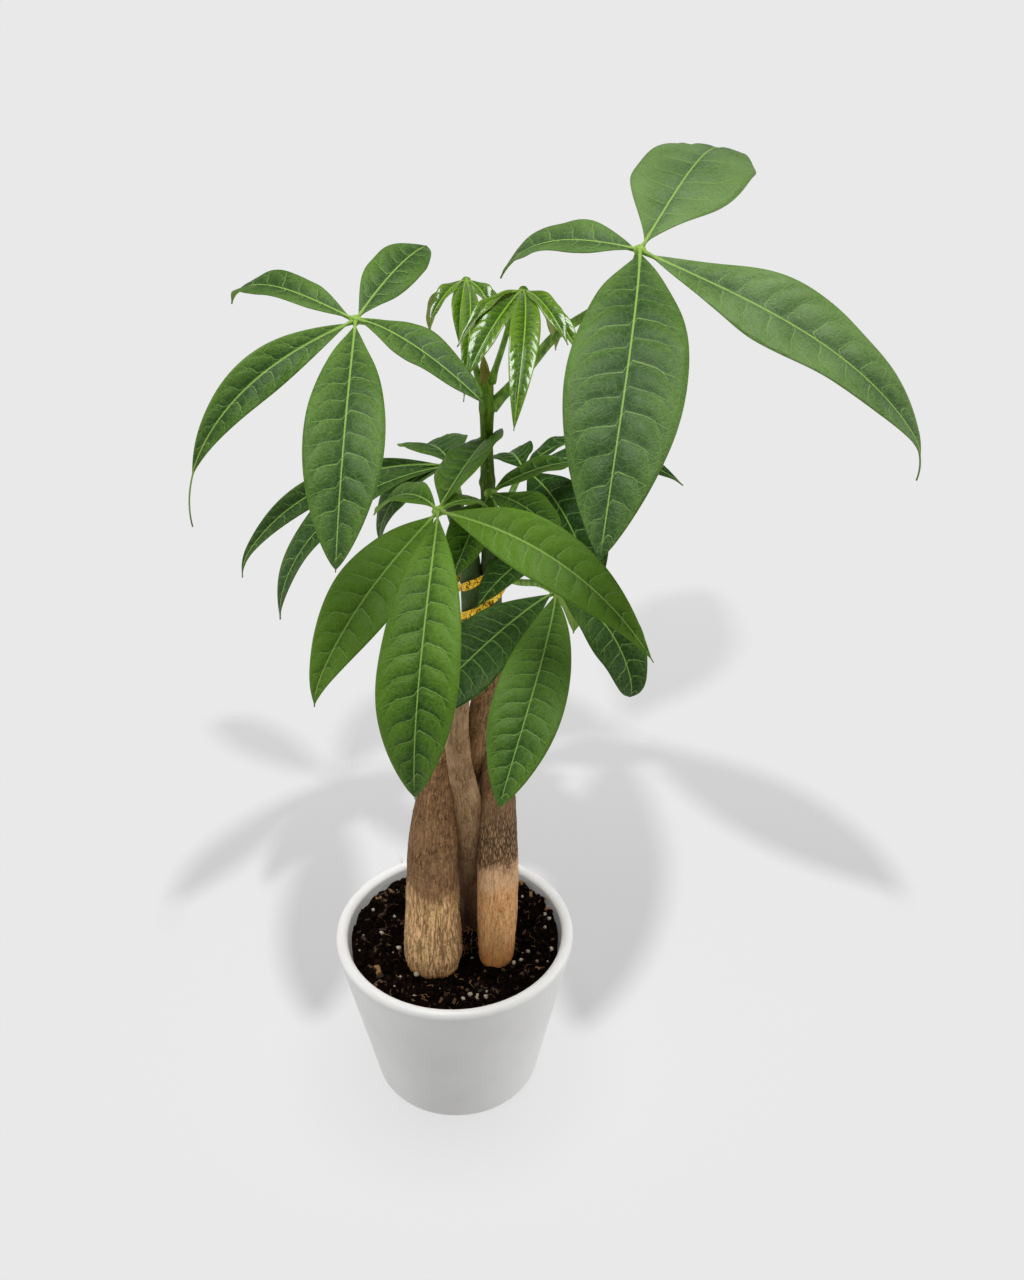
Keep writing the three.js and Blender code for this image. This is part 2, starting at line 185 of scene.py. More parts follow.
# the modelling helpers work in millimetres until a piece is finished
def freshVerts(bm, start):
    bm.verts.ensure_lookup_table()
    return bm.verts[start:]


def finishPiece(bm, name, nodes, materials, smooth=True):
    bmesh.ops.scale(bm, vec=(mm, mm, mm), verts=bm.verts[:])
    bmesh.ops.recalc_face_normals(bm, faces=bm.faces[:])
    mesh = bpy.data.meshes.new(name)
    for face in bm.faces:
        face.smooth = smooth
    bm.to_mesh(mesh)
    bm.free()
    for material in materials:
        mesh.materials.append(material)
    piece = bpy.data.objects.new(name, mesh)
    bpy.context.scene.collection.objects.link(piece)
    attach(piece, "root")
    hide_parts(*nodes)
    low, high = piece.bound_box[0], piece.bound_box[6]
    print("made", name, len(mesh.polygons), "faces", [round(v / mm) for v in (*low, *high)])


def ease(low, high, value):
    share = min(max((value - low) / (high - low), 0), 1)
    return share * share * (3 - 2 * share)


def smoothPath(points, count):
    # centripetal curve through points of x, y, z and radius, cut into even steps
    cuts = 24
    knots = [Vector(p) for p in points]
    knots = [2 * knots[0] - knots[1], *knots, 2 * knots[-1] - knots[-2]]
    fine = []
    for a, b, c, d in zip(knots, knots[1:], knots[2:], knots[3:]):
        gaps = [max((q.xyz - p.xyz).length ** 0.5, 1e-4) for p, q in ((a, b), (b, c), (c, d))]
        leave = ((b - a) / gaps[0] - (c - a) / (gaps[0] + gaps[1]) + (c - b) / gaps[1]) * gaps[1]
        arrive = ((c - b) / gaps[1] - (d - b) / (gaps[1] + gaps[2]) + (d - c) / gaps[2]) * gaps[1]
        for k in range(cuts):
            t = k / cuts
            fine.append(b * (2 * t ** 3 - 3 * t * t + 1) + leave * (t ** 3 - 2 * t * t + t)
                        + c * (3 * t * t - 2 * t ** 3) + arrive * (t ** 3 - t * t))
    fine.append(knots[-2])
    run = [0.0]
    for p, q in zip(fine, fine[1:]):
        run.append(run[-1] + (q.xyz - p.xyz).length)
    steps = []
    k = 0
    for i in range(count + 1):
        goal = run[-1] * i / count
        while k < len(run) - 2 and run[k + 1] < goal:
            k += 1
        steps.append(fine[k].lerp(fine[k + 1], (goal - run[k]) / max(run[k + 1] - run[k], 1e-6)))
    return steps, run[-1]


def tube(bm, points, sides, rings, swell=None, mark=None, material=0):
    # a capped cylinder cut into rings, then bent along the points
    start, faces = len(bm.verts), len(bm.faces)
    bmesh.ops.create_cone(bm, cap_ends=True, segments=sides, radius1=1, radius2=1, depth=1)
    walls = {e for v in freshVerts(bm, start) for e in v.link_edges
             if abs(e.verts[0].co.z - e.verts[1].co.z) > 0.5}
    bmesh.ops.subdivide_edges(bm, edges=sorted(walls, key=lambda e: e.index), cuts=rings - 1)
    steps, long = smoothPath(points, rings)
    tangents = [(steps[min(i + 1, rings)].xyz - steps[max(i - 1, 0)].xyz).normalized()
                for i in range(rings + 1)]
    across = tangents[0].orthogonal().normalized()
    frames = []
    for i, tangent in enumerate(tangents):
        if i:
            across = tangents[i - 1].rotation_difference(tangent) @ across
        frames.append((steps[i].xyz, steps[i].w, across.copy(), tangent.cross(across)))
    for vert in freshVerts(bm, start):
        share = vert.co.z + 0.5
        centre, radius, side, other = frames[round(share * rings)]
        angle = math.atan2(vert.co.y, vert.co.x)
        reach = radius + (swell(angle, share * long, radius, centre.z) if swell else 0)
        vert.co = centre + (side * math.cos(angle) + other * math.sin(angle)) * reach
        if mark:
            mark(vert, angle, share * long, radius)
    bm.faces.ensure_lookup_table()
    for face in bm.faces[faces:]:
        face.material_index = material


# az is the heading seen from above, rise the first slope, droop the slope lost by the tip, roll the bank,
# sweep the turn along the blade, hook a last curl and fold the rise of each half, all in degrees; long and
# wide are the blade's size; belly is its widest place; full and point say how slender its base and tip are
leafletBase = {"bend": 1.2, "roll": 0, "sweep": 0, "hook": 0, "belly": 0.5, "tail": 0.03, "wave": 0.8,
               "full": 1.1, "point": 1.1, "fold": 12, "shade": 0}
matureLook = {"quilt": 0.68, "ribTop": 0.2, "ribUnder": 1.0, "ribWide": 0.55, "veinSpace": 9, "thick": 0.6,
              "bulge": 0.05, "lean": 0.3, "stem": 1.1, "extraFold": 0}
youngLook = {"quilt": 1.0, "ribTop": 0.3, "ribUnder": 0.7, "ribWide": 0.7, "veinSpace": 4.4, "thick": 0.6,
             "bulge": 0.15, "lean": 0.42, "stem": 0.9, "extraFold": 9}


def blade(az, rise, droop, long, wide, **more):
    return {**leafletBase, "az": az, "rise": rise, "droop": droop, "long": long, "wide": wide, **more}


# space is the distance between side veins and tone the freshness of the green; a whitish cast of real dust
# and painted sheen is set for each leaf and may be set again for a leaflet
leaves = {
    "leaf_upper_left": {
        "stalk": [(18.2, -1, 428), (6, -16, 452), (-16, -36, 473), (-31, -45, 479)], "thick": (1.9, 1.4),
        "tone": 0.36, "haze": 0.18, "space": 9, "leaflets": [
            blade(61, 24, 32, 66, 22, roll=18, sweep=8, bend=1.4, fold=6, point=0.65),
            blade(153, 14, 62, 79, 20, roll=-12, sweep=-20, bend=2, full=1, hook=25),
            blade(232, -2, 99, 124, 17.5, roll=-46, sweep=-30, bend=1.65, tail=0.2),
            blade(273, 0, 62, 130, 31, roll=-11, sweep=-8, belly=0.6, full=1.3, point=0.75),
            blade(316, 14, 46, 74, 20, roll=10, sweep=9, bend=0.6, point=1),
        ]},
    "leaf_upper_right": {
        "stalk": [(23, 0.5, 421), (38, 3, 437), (52, -1, 456), (70, -12, 473), (80, -22, 487),
                  (84, -30, 503)], "thick": (2.6, 1.5),
        "tone": 0.34, "haze": 0.3, "space": 11, "leaflets": [
            blade(61, 23, 60, 120, 52, roll=4, sweep=9, bend=2.2, fold=-6, full=1.3, point=0.9, wave=2,
                  shade=0.12, haze=0.52),
            blade(158, 4, 72, 73, 23, roll=-18, sweep=-10, bend=2, belly=0.42, full=0.9),
            blade(266, 4, 62, 161, 45, roll=-3, sweep=-11, bend=0.9, belly=0.54, point=0.8, wave=1.4,
                  fold=3, haze=0.22),
            blade(317, -9, 62, 160, 33, roll=28, sweep=26, bend=2.2, wave=2, tail=0.08, hook=40,
                  point=1.2, shade=0.2, haze=0.5),
        ]},
    "leaf_front": {
        "stalk": [(18.6, -2, 369), (12, -18, 384), (5, -46, 397), (1, -62, 401)], "thick": (2, 1.5),
        "tone": 0.62, "haze": 0.06, "space": 8.3, "leaflets": [
            blade(68, 16, 35, 84, 29, roll=-24, sweep=10, belly=0.44, point=0.8, shade=-0.28),
            blade(121, 12, 66, 60, 18, roll=-16, sweep=16, bend=0.8),
            blade(248, -2, 66, 112, 28, roll=-24, sweep=-22, bend=1.6, hook=20, point=1, shade=0.3),
            blade(271, 8, 104, 147, 33, sweep=-14, belly=0.64, full=1.3, point=0.8, wave=1.2),
            blade(318, 9, 62, 125, 25, roll=44, sweep=6, bend=1.5, belly=0.46, shade=0.34),
            blade(40, 12, 60, 30, 12),
        ]},
    "leaf_lower_right": {
        "stalk": [(26, -5, 338), (34, -20, 342), (45, -36, 350), (52, -45, 351)], "thick": (1.8, 1.4),
        "tone": 0.14, "haze": 0.12, "space": 6.6, "leaflets": [
            blade(234, 12, 38, 106, 33, roll=-14, sweep=-9, bend=0.6, belly=0.62, point=0.75),
            blade(268, 18, 75, 123, 31, roll=-6, sweep=-27, bend=0.8, belly=0.64, full=1.3, point=0.8,
                  shade=0.42),
            blade(314, 13, 98, 70, 25, roll=13, sweep=-11, wave=1.6, hook=30, point=0.5, shade=0.1),
            blade(55, -40, 50, 36, 15),
        ]},
    # the back right leaf is given a dark tone: its own deep green and painted shade, for it sits under the
    # other leaves
    "leaf_back_right": {
        "stalk": [(24.5, 7.5, 355.5), (30, 17, 364), (35, 28, 371), (38, 35, 373)], "thick": (1.8, 1.4),
        "tone": -0.5, "haze": 0, "leaflets": [
            blade(104, 2, 42, 45, 22, roll=-15, sweep=-4),
            blade(50, 12, 36, 62, 20, roll=-20),
            blade(9, 16, 60, 88, 20, roll=12),
            blade(300, 2, 66, 90, 34, roll=8, sweep=-8, wave=1.2),
        ]},
    "leaf_centre": {
        "stalk": [(23, -2, 371), (25, -7, 378), (24, -12, 384), (22, -14, 385)], "thick": (1.7, 1.4),
        "tone": 0.5, "haze": 0, "leaflets": [
            blade(316, 8, 50, 46, 24, bend=1.5, fold=10, point=0.7),
            blade(37, 14, 35, 60, 16),
            blade(258, -4, 50, 54, 22, sweep=-20),
        ]},
    "leaf_back_left": {
        "stalk": [(9, 6, 354), (8, 12, 364), (5, 20, 376), (3, 25, 380)], "thick": (1.8, 1.4),
        "tone": 0.2, "haze": 0.15, "leaflets": [
            blade(108, 10, 48, 58, 36, sweep=8, bend=0.8),
            blade(197, 12, 76, 127, 14, roll=-50, sweep=8, bend=1.3, fold=24, hook=30, wave=1.2),
            blade(212, 4, 94, 126, 23, bend=1.7, sweep=6),
            blade(211, 4, 98, 59, 19),
        ]},
    "leaf_low_centre": {
        "stalk": [(24, -3, 358), (30, -10, 360), (38, -21, 361), (42, -25, 359)], "thick": (1.6, 1.3),
        "tone": 0.1, "haze": 0.05, "leaflets": [
            blade(238, 9, 40, 46, 18, sweep=-7),
            blade(330, 8, 50, 44, 17),
        ]},
    "leaf_young_front": {
        "stalk": [(23.2, -1, 434), (27, -5, 448), (33, -11, 470), (37, -15, 481)], "thick": (1.5, 1.1),
        "tone": 0.55, "haze": 0, "young": True, "leaflets": [
            blade(236, 8, 44, 51, 8, fold=38),
            blade(251, 1, 42, 60, 16, sweep=-10, fold=20, point=0.8),
            blade(274, 4, 62, 85, 14, roll=-8, sweep=-16, fold=18, belly=0.47, point=0.9),
            blade(293, 8, 50, 44, 11, sweep=7, fold=20),
            blade(306, -5, 44, 46, 9, fold=26),
            blade(44, -38, 45, 40, 13, fold=16),
            blade(100, -30, 50, 46, 13, fold=16),
        ]},
    "leaf_young_back": {
        "stalk": [(18.4, 1.4, 432), (14, 6, 446), (12, 15, 464), (12, 20, 473)], "thick": (1.5, 1.1),
        "tone": 0.5, "haze": 0, "young": True, "leaflets": [
            blade(244, 8, 50, 38, 8.5, fold=24),
            blade(266, 4, 66, 42, 10, fold=24),
            blade(278, 6, 60, 82, 9, sweep=-17, fold=18),
            blade(303, 3, 58, 27, 9, fold=20),
            blade(40, -30, 50, 42, 12, fold=16),
            blade(140, -30, 50, 40, 12, fold=16),
        ]},
}
bladeMesh = {"rowStep": 1.1, "columns": 26, "crowd": 1.45, "end": 0.978, "leastRows": 24, "finest": 4}
bladeEdge = {"half": 0.22, "curlFrom": 0.85, "ripplePower": 1.6, "thinning": 0.45, "dimple": 0.35}


def bladeWidth(s, leaflet):
    t = min(max((s - 0.03) / (0.97 - leaflet["tail"]), 0), 1)
    belly = leaflet["belly"]
    power = leaflet["full"] if t < belly else leaflet["point"]
    run = t / belly if t < belly else (1 - t) / (1 - belly)
    return math.sin(math.pi / 2 * run) ** power * leaflet["wide"] / 2


def spineOf(hub, leaflet, rows):
    # middle line of a blade: place, side and up at each row
    fine = bladeMesh["finest"]
    point = Vector(hub)
    before = None
    found = []
    for i in range(rows * fine + 1):
        s = i / (rows * fine) * bladeMesh["end"]
        curl = leaflet["hook"] * max((s - bladeEdge["curlFrom"]) / (1 - bladeEdge["curlFrom"]), 0)
        pitch = math.radians(leaflet["rise"] - leaflet["droop"] * s ** leaflet["bend"] - curl)
        heading = math.radians(leaflet["az"] + leaflet["sweep"] * s)
        level, steep = math.cos(pitch), math.sin(pitch)
        forward = Vector((level * math.cos(heading), level * math.sin(heading), steep))
        if before:
            point += (before + forward) * (leaflet["long"] * bladeMesh["end"] / (rows * fine) / 2)
        before = forward
        if i % fine == 0:
            up = Vector((-steep * math.cos(heading), -steep * math.sin(heading), level))
            up.rotate(Quaternion(forward, math.radians(leaflet["roll"])))
            found.append((point.copy(), up.cross(forward), up))
    return found


def addBlade(bm, hub, leaflet, look, leaf, seed):
    # a grid for the top and its copy for the underside, joined round the edge, then bent along the spine
    rows = max(round(leaflet["long"] / bladeMesh["rowStep"]), bladeMesh["leastRows"])
    spine = spineOf(hub, leaflet, rows)
    start, faces = len(bm.verts), len(bm.faces)
    bmesh.ops.create_grid(bm, x_segments=bladeMesh["columns"], y_segments=rows, size=1)
    top = freshVerts(bm, start)
    edges = sorted({e for v in top for e in v.link_edges}, key=lambda e: e.index)
    bm.faces.ensure_lookup_table()
    bmesh.ops.extrude_face_region(bm, geom=[*top, *edges, *bm.faces[faces:]], use_keep_orig=True)
    bladeLayer, veinLayer = bm.verts.layers.float_vector["blade"], bm.verts.layers.float_vector["vein"]
    space = min(leaf.get("space", look["veinSpace"]), leaflet["long"] / 8)
    toneLayer, dustAndSheenLayer = bm.verts.layers.float["tone"], bm.verts.layers.float["haze"]
    phaseShift = noise.noise(Vector((seed * 3.7, 0.3, 0.9)))
    toneShift = 0.12 * noise.noise(Vector((seed * 5.1, 2.2, 0.4)))
    for k, vert in enumerate(freshVerts(bm, start)):
        under = k >= len(top)
        t = vert.co.x
        t = math.copysign(abs(t) ** bladeMesh["crowd"], t)
        s = (vert.co.y + 1) / 2 * bladeMesh["end"]
        edge = abs(t)
        centre, side, up = spine[round((vert.co.y + 1) / 2 * rows)]
        stem = 1 - ease(0.015, 0.075, s)
        stemRadius = look["stem"] * (1 - 0.25 * ease(0, 0.07, s))
        wide = max(bladeWidth(s, leaflet), bladeEdge["half"] + stem * (stemRadius - bladeEdge["half"]))
        x = abs(t) * wide
        hand = 1 if t >= 0 else -1
        # lateral veins lean towards the tip and bend along the margin
        lean = look["lean"] * x + 0.85 * space * max(edge - 0.5, 0) ** 1.5 / 0.35
        wander = 0.16 * noise.noise(Vector((s * leaflet["long"] * 0.06, hand * 5.0, seed)))
        apart = 0.25 * hand * ease(0.0, 1.6, x)
        phase = (s ** 0.93 * leaflet["long"] - lean) / space + wander + apart + phaseShift
        near = abs(phase - round(phase)) * space
        size = min(wide / 14, 1.3)
        puff = 1 - math.exp(-(near / (0.24 * space)) ** 2)
        fade = ease(0.6, 2.6, x) * (1 - ease(0.78, 1, edge)) * (1 - stem)
        quilt = look["quilt"] * size * (puff - 0.5) * fade
        ribTaper = (1 - 0.72 * s) * (1 + 0.5 * stem)
        ribWide = look["ribWide"] * ribTaper + 0.15
        body = look["thick"] * (1 - bladeEdge["thinning"] * edge) * (1 - 0.4 * ease(0.8, 1, s))
        slope = math.radians(leaflet["fold"] + look["extraFold"])
        ripple = leaflet["wave"] * wide * 2 / leaflet["wide"]
        beat = (2.2, 0) if hand > 0 else (2.5, 2)
        flutter = math.sin(turn * s * beat[0] + leaflet["az"] + beat[1])
        lift = x * math.sin(slope) * (1 - stem) + ripple * flutter * edge ** bladeEdge["ripplePower"]
        lift += look["bulge"] * wide * math.sin(math.pi * edge ** 0.8) * (1 - stem)
        dimple = noise.noise(Vector((s * 9 + seed, hand * edge * 1.5, seed * 1.3)))
        lift += bladeEdge["dimple"] * size * dimple * edge * 2 + quilt
        bow = math.sqrt(max(1 - t * t, 0))
        if under:
            ribDepth = look["ribUnder"] * ribTaper * math.exp(-(x / (ribWide * 1.1)) ** 2)
            lift -= body * 0.5 + ribDepth * (1 - stem)
            lift -= 0.3 * size * math.exp(-(near / 0.7) ** 2) * fade
            lift -= stem * stemRadius * bow
        else:
            lift += body * 0.5 + look["ribTop"] * ribTaper * math.exp(-(x / ribWide) ** 2) * (1 - stem)
            lift += stem * stemRadius * bow * 0.8
        spread = math.cos(slope) * (1 - stem) + stem
        vert.co = centre + side * (t * wide * spread) + up * lift
        vert[bladeLayer] = (t * wide, edge, s)
        vert[veinLayer] = (phase, space, 1 if under else 0)
        vert[toneLayer] = leaf["tone"] + leaflet["shade"] + toneShift
        vert[dustAndSheenLayer] = leaflet.get("haze", leaf["haze"])


def addHub(bm, centre, radius):
    start, faces = len(bm.verts), len(bm.faces)
    bmesh.ops.create_icosphere(bm, subdivisions=3, radius=radius)
    ball = freshVerts(bm, start)
    bmesh.ops.scale(bm, vec=(1, 1, 0.8), verts=ball)
    for vert in ball:
        vert.co *= 1 + 0.12 * noise.noise(vert.co * 0.9 + Vector(centre))
    bmesh.ops.translate(bm, vec=centre, verts=ball)
    bm.faces.ensure_lookup_table()
    for face in bm.faces[faces:]:
        face.material_index = 2


def makeLeaf(name, leaf, seed, finishes):
    bm = bmesh.new()
    bm.verts.layers.float_vector.new("blade")
    bm.verts.layers.float_vector.new("vein")
    bm.verts.layers.float.new("tone")
    bm.verts.layers.float.new("haze")
    look = youngLook if leaf.get("young") else matureLook
    hub = leaf["stalk"][-1]
    for k, leaflet in enumerate(leaf["leaflets"]):
        addBlade(bm, hub, leaflet, look, leaf, seed + k * 1.7)
    last = len(leaf["stalk"]) - 1
    thick = leaf["thick"]
    path = [(*p, thick[0] + (thick[1] - thick[0]) * k / last) for k, p in enumerate(leaf["stalk"])]

    def ends(angle, along, radius, z):
        return 0.7 * math.exp(-(along / 5) ** 2) + 0.06 * math.sin(3 * angle + along * 0.2)

    tube(bm, path, 20, 70, ends, material=1)
    addHub(bm, hub, look["stem"] * 2.4)
    finishPiece(bm, name.replace("leaf_", "") + "_leaf", [name], finishes)


def leafPaint(name, look):
    paint = Paint(name)
    across, edge, along = paint.shares("blade")
    phase, space, under = paint.shares("vein")
    tone = paint.share("tone")
    where = paint.place()
    x = abs(across)
    ribHalf = (1.9 - paint.between(along, 0.0, 0.14) * 0.9 - along * 0.55) * look["ribHalf"]
    rib = paint.falls(x / ribHalf, 0.6, 1.3) * paint.falls(along, 0.9, 0.97)
    haze = paint.share("haze")
    cloud = paint.grain(where, 0.035, 4)
    speck = paint.grain(where, 0.9, 4, 0.7)
    weave = paint.grain(where, 2.2, 2, 0.6)
    # a side vein runs straight out, forks past half way and joins its neighbour in a loop
    lag = (phase + paint.grain(where, 0.045, 3, 0.5) * 0.24 + 0.38).fract() - 0.5
    beat = abs(lag)
    fork = abs(beat - paint.between(edge, 0.55, 0.97) * 0.45) * space
    veinHalf = (1.25 - edge) * look["veinHalf"]
    vein = paint.falls(fork / veinHalf, 0.3, 1.4)
    vein = vein * (1.0 - paint.between(edge, 0.8, 0.97) * 0.7)
    # every other vein is faint
    vein = vein * (paint.between(abs((phase * 0.5).fract() - 0.5), 0.2, 0.3) * 0.3 + 0.7)
    # painted shade and painted highlight of the quilted blade: dark on the hub's side of each vein and a
    # little pale on the other
    paintedVeinShade = paint.between(lag, -0.3, -0.03) * paint.falls(lag, -0.02, 0.05)
    paintedVeinShade = paintedVeinShade - paint.between(lag, 0.02, 0.08) * paint.falls(lag, 0.1, 0.34) * 0.5
    paintedVeinShade = paintedVeinShade * paint.falls(edge, 0.6, 0.9) * (1.0 - haze * 1.6)
    net = paint.cells(where, look["netScale"], "DISTANCE_TO_EDGE")
    mesh = paint.falls(net, 0.02, 0.12)
    flank = paint.falls(x, 0.5, 4.5)
    # painted shade: the blade darkens towards its tip, which turns away from the overhead light; it is also
    # darker along the midrib and lighter towards the margin
    shade = tone - along * 0.2 + 0.1 + (cloud - 0.5) * 0.8 + (edge - 0.4) * 0.4
    shade = shade + (speck - 0.5) * 0.95 - paintedVeinShade * 0.31 - flank * 0.14
    top = paint.mix(paint.between(shade, 0.0, 1.0), look["deep"], look["fresh"])
    # a whitish cast of real dust and painted sheen
    dustAndSheenMix = (weave * 1.6 + cloud - 0.8) * haze
    top = paint.mix(dustAndSheenMix, top, look["dustAndSheenColour"])
    top = paint.mix(mesh * look["netShow"], top, look["veinColour"])
    top = paint.mix(vein * (0.45 + speck * 0.8) * look["veinShow"], top, look["veinColour"])
    top = paint.mix(rib * 0.95, top, look["ribColour"])
    below = paint.mix(paint.between(cloud, 0.3, 0.7), look["underDeep"], look["underFresh"])
    below = paint.mix((vein * 0.6).most(rib), below, look["ribColour"])
    colour = paint.mix(under, top, below)
    rough = look["rough"] + (speck - 0.5) * 0.16 + (cloud - 0.5) * 0.1 + under * 0.2 + rib * 0.05
    height = speck * 0.5 - mesh * 0.35 + weave * 0.3 + vein * 0.2
    return paint.finish(colour=colour, roughness=rough, normal=paint.bump(height, look["bump"] * mm),
                        specular=look["specular"], coat=look["coat"], coatRoughness=look["coatRough"])


matureFinish = leafPaint("leafGreen", {
    "deep": (0.012, 0.05, 0.002), "fresh": (0.095, 0.205, 0.011), "dustAndSheenColour": (0.26, 0.34, 0.21),
    "veinColour": (0.2, 0.34, 0.08), "ribColour": (0.26, 0.42, 0.08), "underDeep": (0.13, 0.24, 0.03),
    "underFresh": (0.22, 0.34, 0.06), "ribHalf": 0.47, "veinHalf": 0.29, "veinShow": 0.9, "netScale": 0.34,
    "netShow": 0.12, "rough": 0.44, "bump": 0.2, "specular": 0.14, "coat": 0.0, "coatRough": 0.3})
youngFinish = leafPaint("youngLeafGreen", {
    "deep": (0.024, 0.085, 0.001), "fresh": (0.14, 0.27, 0.003), "dustAndSheenColour": (0.2, 0.35, 0.06),
    "veinColour": (0.13, 0.3, 0.02), "ribColour": (0.28, 0.46, 0.04), "underDeep": (0.17, 0.22, 0.01),
    "underFresh": (0.3, 0.33, 0.03), "ribHalf": 0.45, "veinHalf": 0.3, "veinShow": 0.4, "netScale": 0.6,
    "netShow": 0.04, "rough": 0.22, "bump": 0.1, "specular": 0.5, "coat": 0.85, "coatRough": 0.07})


def stalkPaint(name, green, pale, rough):
    paint = Paint(name)
    where = paint.place()
    streak = paint.grain(paint.drawnOut(where, 0.25), 0.5, 4)
    colour = paint.mix(paint.between(streak, 0.35, 0.7), green, pale)
    return paint.finish(colour=colour, roughness=rough + streak * 0.15,
                        normal=paint.bump(paint.grain(where, 2.0, 3), 0.15 * mm), specular=0.25)


leafStalk = stalkPaint("leafStalk", (0.09, 0.2, 0.02), (0.26, 0.43, 0.07), 0.35)
youngStalk = stalkPaint("youngStalk", (0.06, 0.16, 0.008), (0.17, 0.32, 0.02), 0.25)
leafHub = stalkPaint("leafHub", (0.16, 0.32, 0.03), (0.34, 0.52, 0.1), 0.35)

for number, (leafName, leafValues) in enumerate(leaves.items()):
    young = leafValues.get("young")
    finishes = [youngFinish, youngStalk, youngStalk] if young else [matureFinish, leafStalk, leafHub]
    makeLeaf(leafName, leafValues, 1 + number * 11.3, finishes)
print("leaves done")


def barkPaint(name, look):
    paint = Paint(name)
    where = paint.place()
    straight = paint.node("ShaderNodeAttribute", {"attribute_name": "grain"}, outlet="Vector")
    height = paint.up(where)
    fibre = paint.grain(paint.drawnOut(straight, 0.13), 0.9, 6, 0.65)
    blotch = paint.grain(straight, 0.06, 4, 0.6)
    fleck = paint.grain(paint.drawnOut(straight, 0.5), 1.6, 4, 0.7)
    weave = paint.grain(paint.drawnOut(straight, 0.42), 1.0, 3, 0.75, 0.8)
    split = abs(paint.grain(paint.drawnOut(straight, 0.16), 0.42, 5, 0.6, 0.5) - 0.5)
    crack = paint.falls(split, 0.0, look["crackWide"])
    net = paint.cells(paint.drawnOut(straight, 0.19), 1.05, "DISTANCE_TO_EDGE")
    mesh = paint.falls(net, 0.04, 0.3)
    ring = paint.grain(paint.scaled(straight, (0.05, 0.05, 0.5)), 0.5, 3, 0.5)
    level = height + (blotch - 0.5) * 34.0 + (fleck - 0.5) * 16.0
    paleTop, soft, greenFrom = look["paleTop"], look["soft"], look["greenFrom"]
    pale = paint.falls(level, paleTop - soft, paleTop + soft)
    band = paint.between(level, paleTop - 8.0, paleTop + 2.0)
    band = band * paint.falls(level, paleTop + 18.0, paleTop + 46.0) * look["netBand"]
    green = paint.between(height + (blotch - 0.5) * 40.0, greenFrom - 16.0, greenFrom + 16.0)
    thread = fibre * 0.5 + weave * 0.5
    brown = paint.mix(paint.between(thread, 0.42, 0.57), look["brownDeep"], look["brown"])
    brown = paint.mix(paint.between(blotch, 0.35, 0.7) * 0.6, brown, look["brownPale"])
    brown = paint.mix(paint.between(weave, 0.54, 0.7) * 0.4, brown, look["bleached"])
    brown = paint.mix(band * 0.6, brown, look["bleached"])
    light = paint.mix(paint.between(fibre * 0.6 + weave * 0.4, *look["strip"]), look["tan"], look["cream"])
    light = paint.mix(paint.between(blotch, 0.42, 0.68) * look["mossShow"], light, look["moss"])
    low = paint.falls(height + (fleck - 0.5) * 14.0, 92.0, look["footTop"])
    fade = paint.falls(abs(level - paleTop + 9.0), 3.0, 14.0)
    light = paint.mix(fade * look["netBand"] * 0.45, light, look["blush"])
    light = paint.mix(low * 0.75, light, look["foot"])
    wood = paint.mix(pale, brown, light)
    wood = paint.mix(paint.falls(height, 100.0, 170.0) * look["lowShade"], wood, look["shaded"])
    wood = paint.mix(green, wood, paint.mix(fibre, look["greenDeep"], look["green"]))
    dark = crack * (0.3 + pale * look["crackShow"]) * (1.0 - green * 0.7) + mesh * band * (0.4 + blotch)
    dark = dark + paint.between(ring, 0.62, 0.7) * (0.25 - pale * 0.25)
    wood = paint.mix(dark, wood, look["crackColour"])
    wood = paint.mix(paint.between(fleck, 0.57, 0.72) * 0.4, wood, look["fleck"])
    bump = fibre * 0.7 + fleck * 0.4 + weave * 0.4 - crack * look["crackShow"] * 0.9 - mesh * band * 0.8
    return paint.finish(colour=wood, roughness=0.82 - green * 0.25 + (fleck - 0.5) * 0.2,
                        normal=paint.bump(bump, look["bump"] * mm), specular=0.25)


# paleTop, greenFrom and footTop are heights where one colour of bark passes into the next
barkBase = {"paleTop": 145.0, "greenFrom": 306.0, "crackWide": 0.05, "bump": 0.7,
            "brownDeep": (0.06, 0.03, 0.012), "brown": (0.29, 0.15, 0.058), "brownPale": (0.32, 0.18, 0.08),
            "tan": (0.34, 0.18, 0.065), "cream": (0.93, 0.57, 0.29), "moss": (0.58, 0.42, 0.14),
            "mossShow": 0.32, "soft": 6.0, "strip": (0.4, 0.58), "footTop": 104.0,
            "foot": (0.68, 0.33, 0.1), "greenDeep": (0.03, 0.07, 0.012), "green": (0.07, 0.13, 0.02),
            "blush": (0.78, 0.53, 0.34), "shaded": (0.05, 0.022, 0.01), "crackColour": (0.06, 0.03, 0.01),
            "fleck": (0.62, 0.37, 0.18), "bleached": (0.62, 0.37, 0.2), "crackShow": 0.3, "netBand": 0.0,
            "lowShade": 0.0}
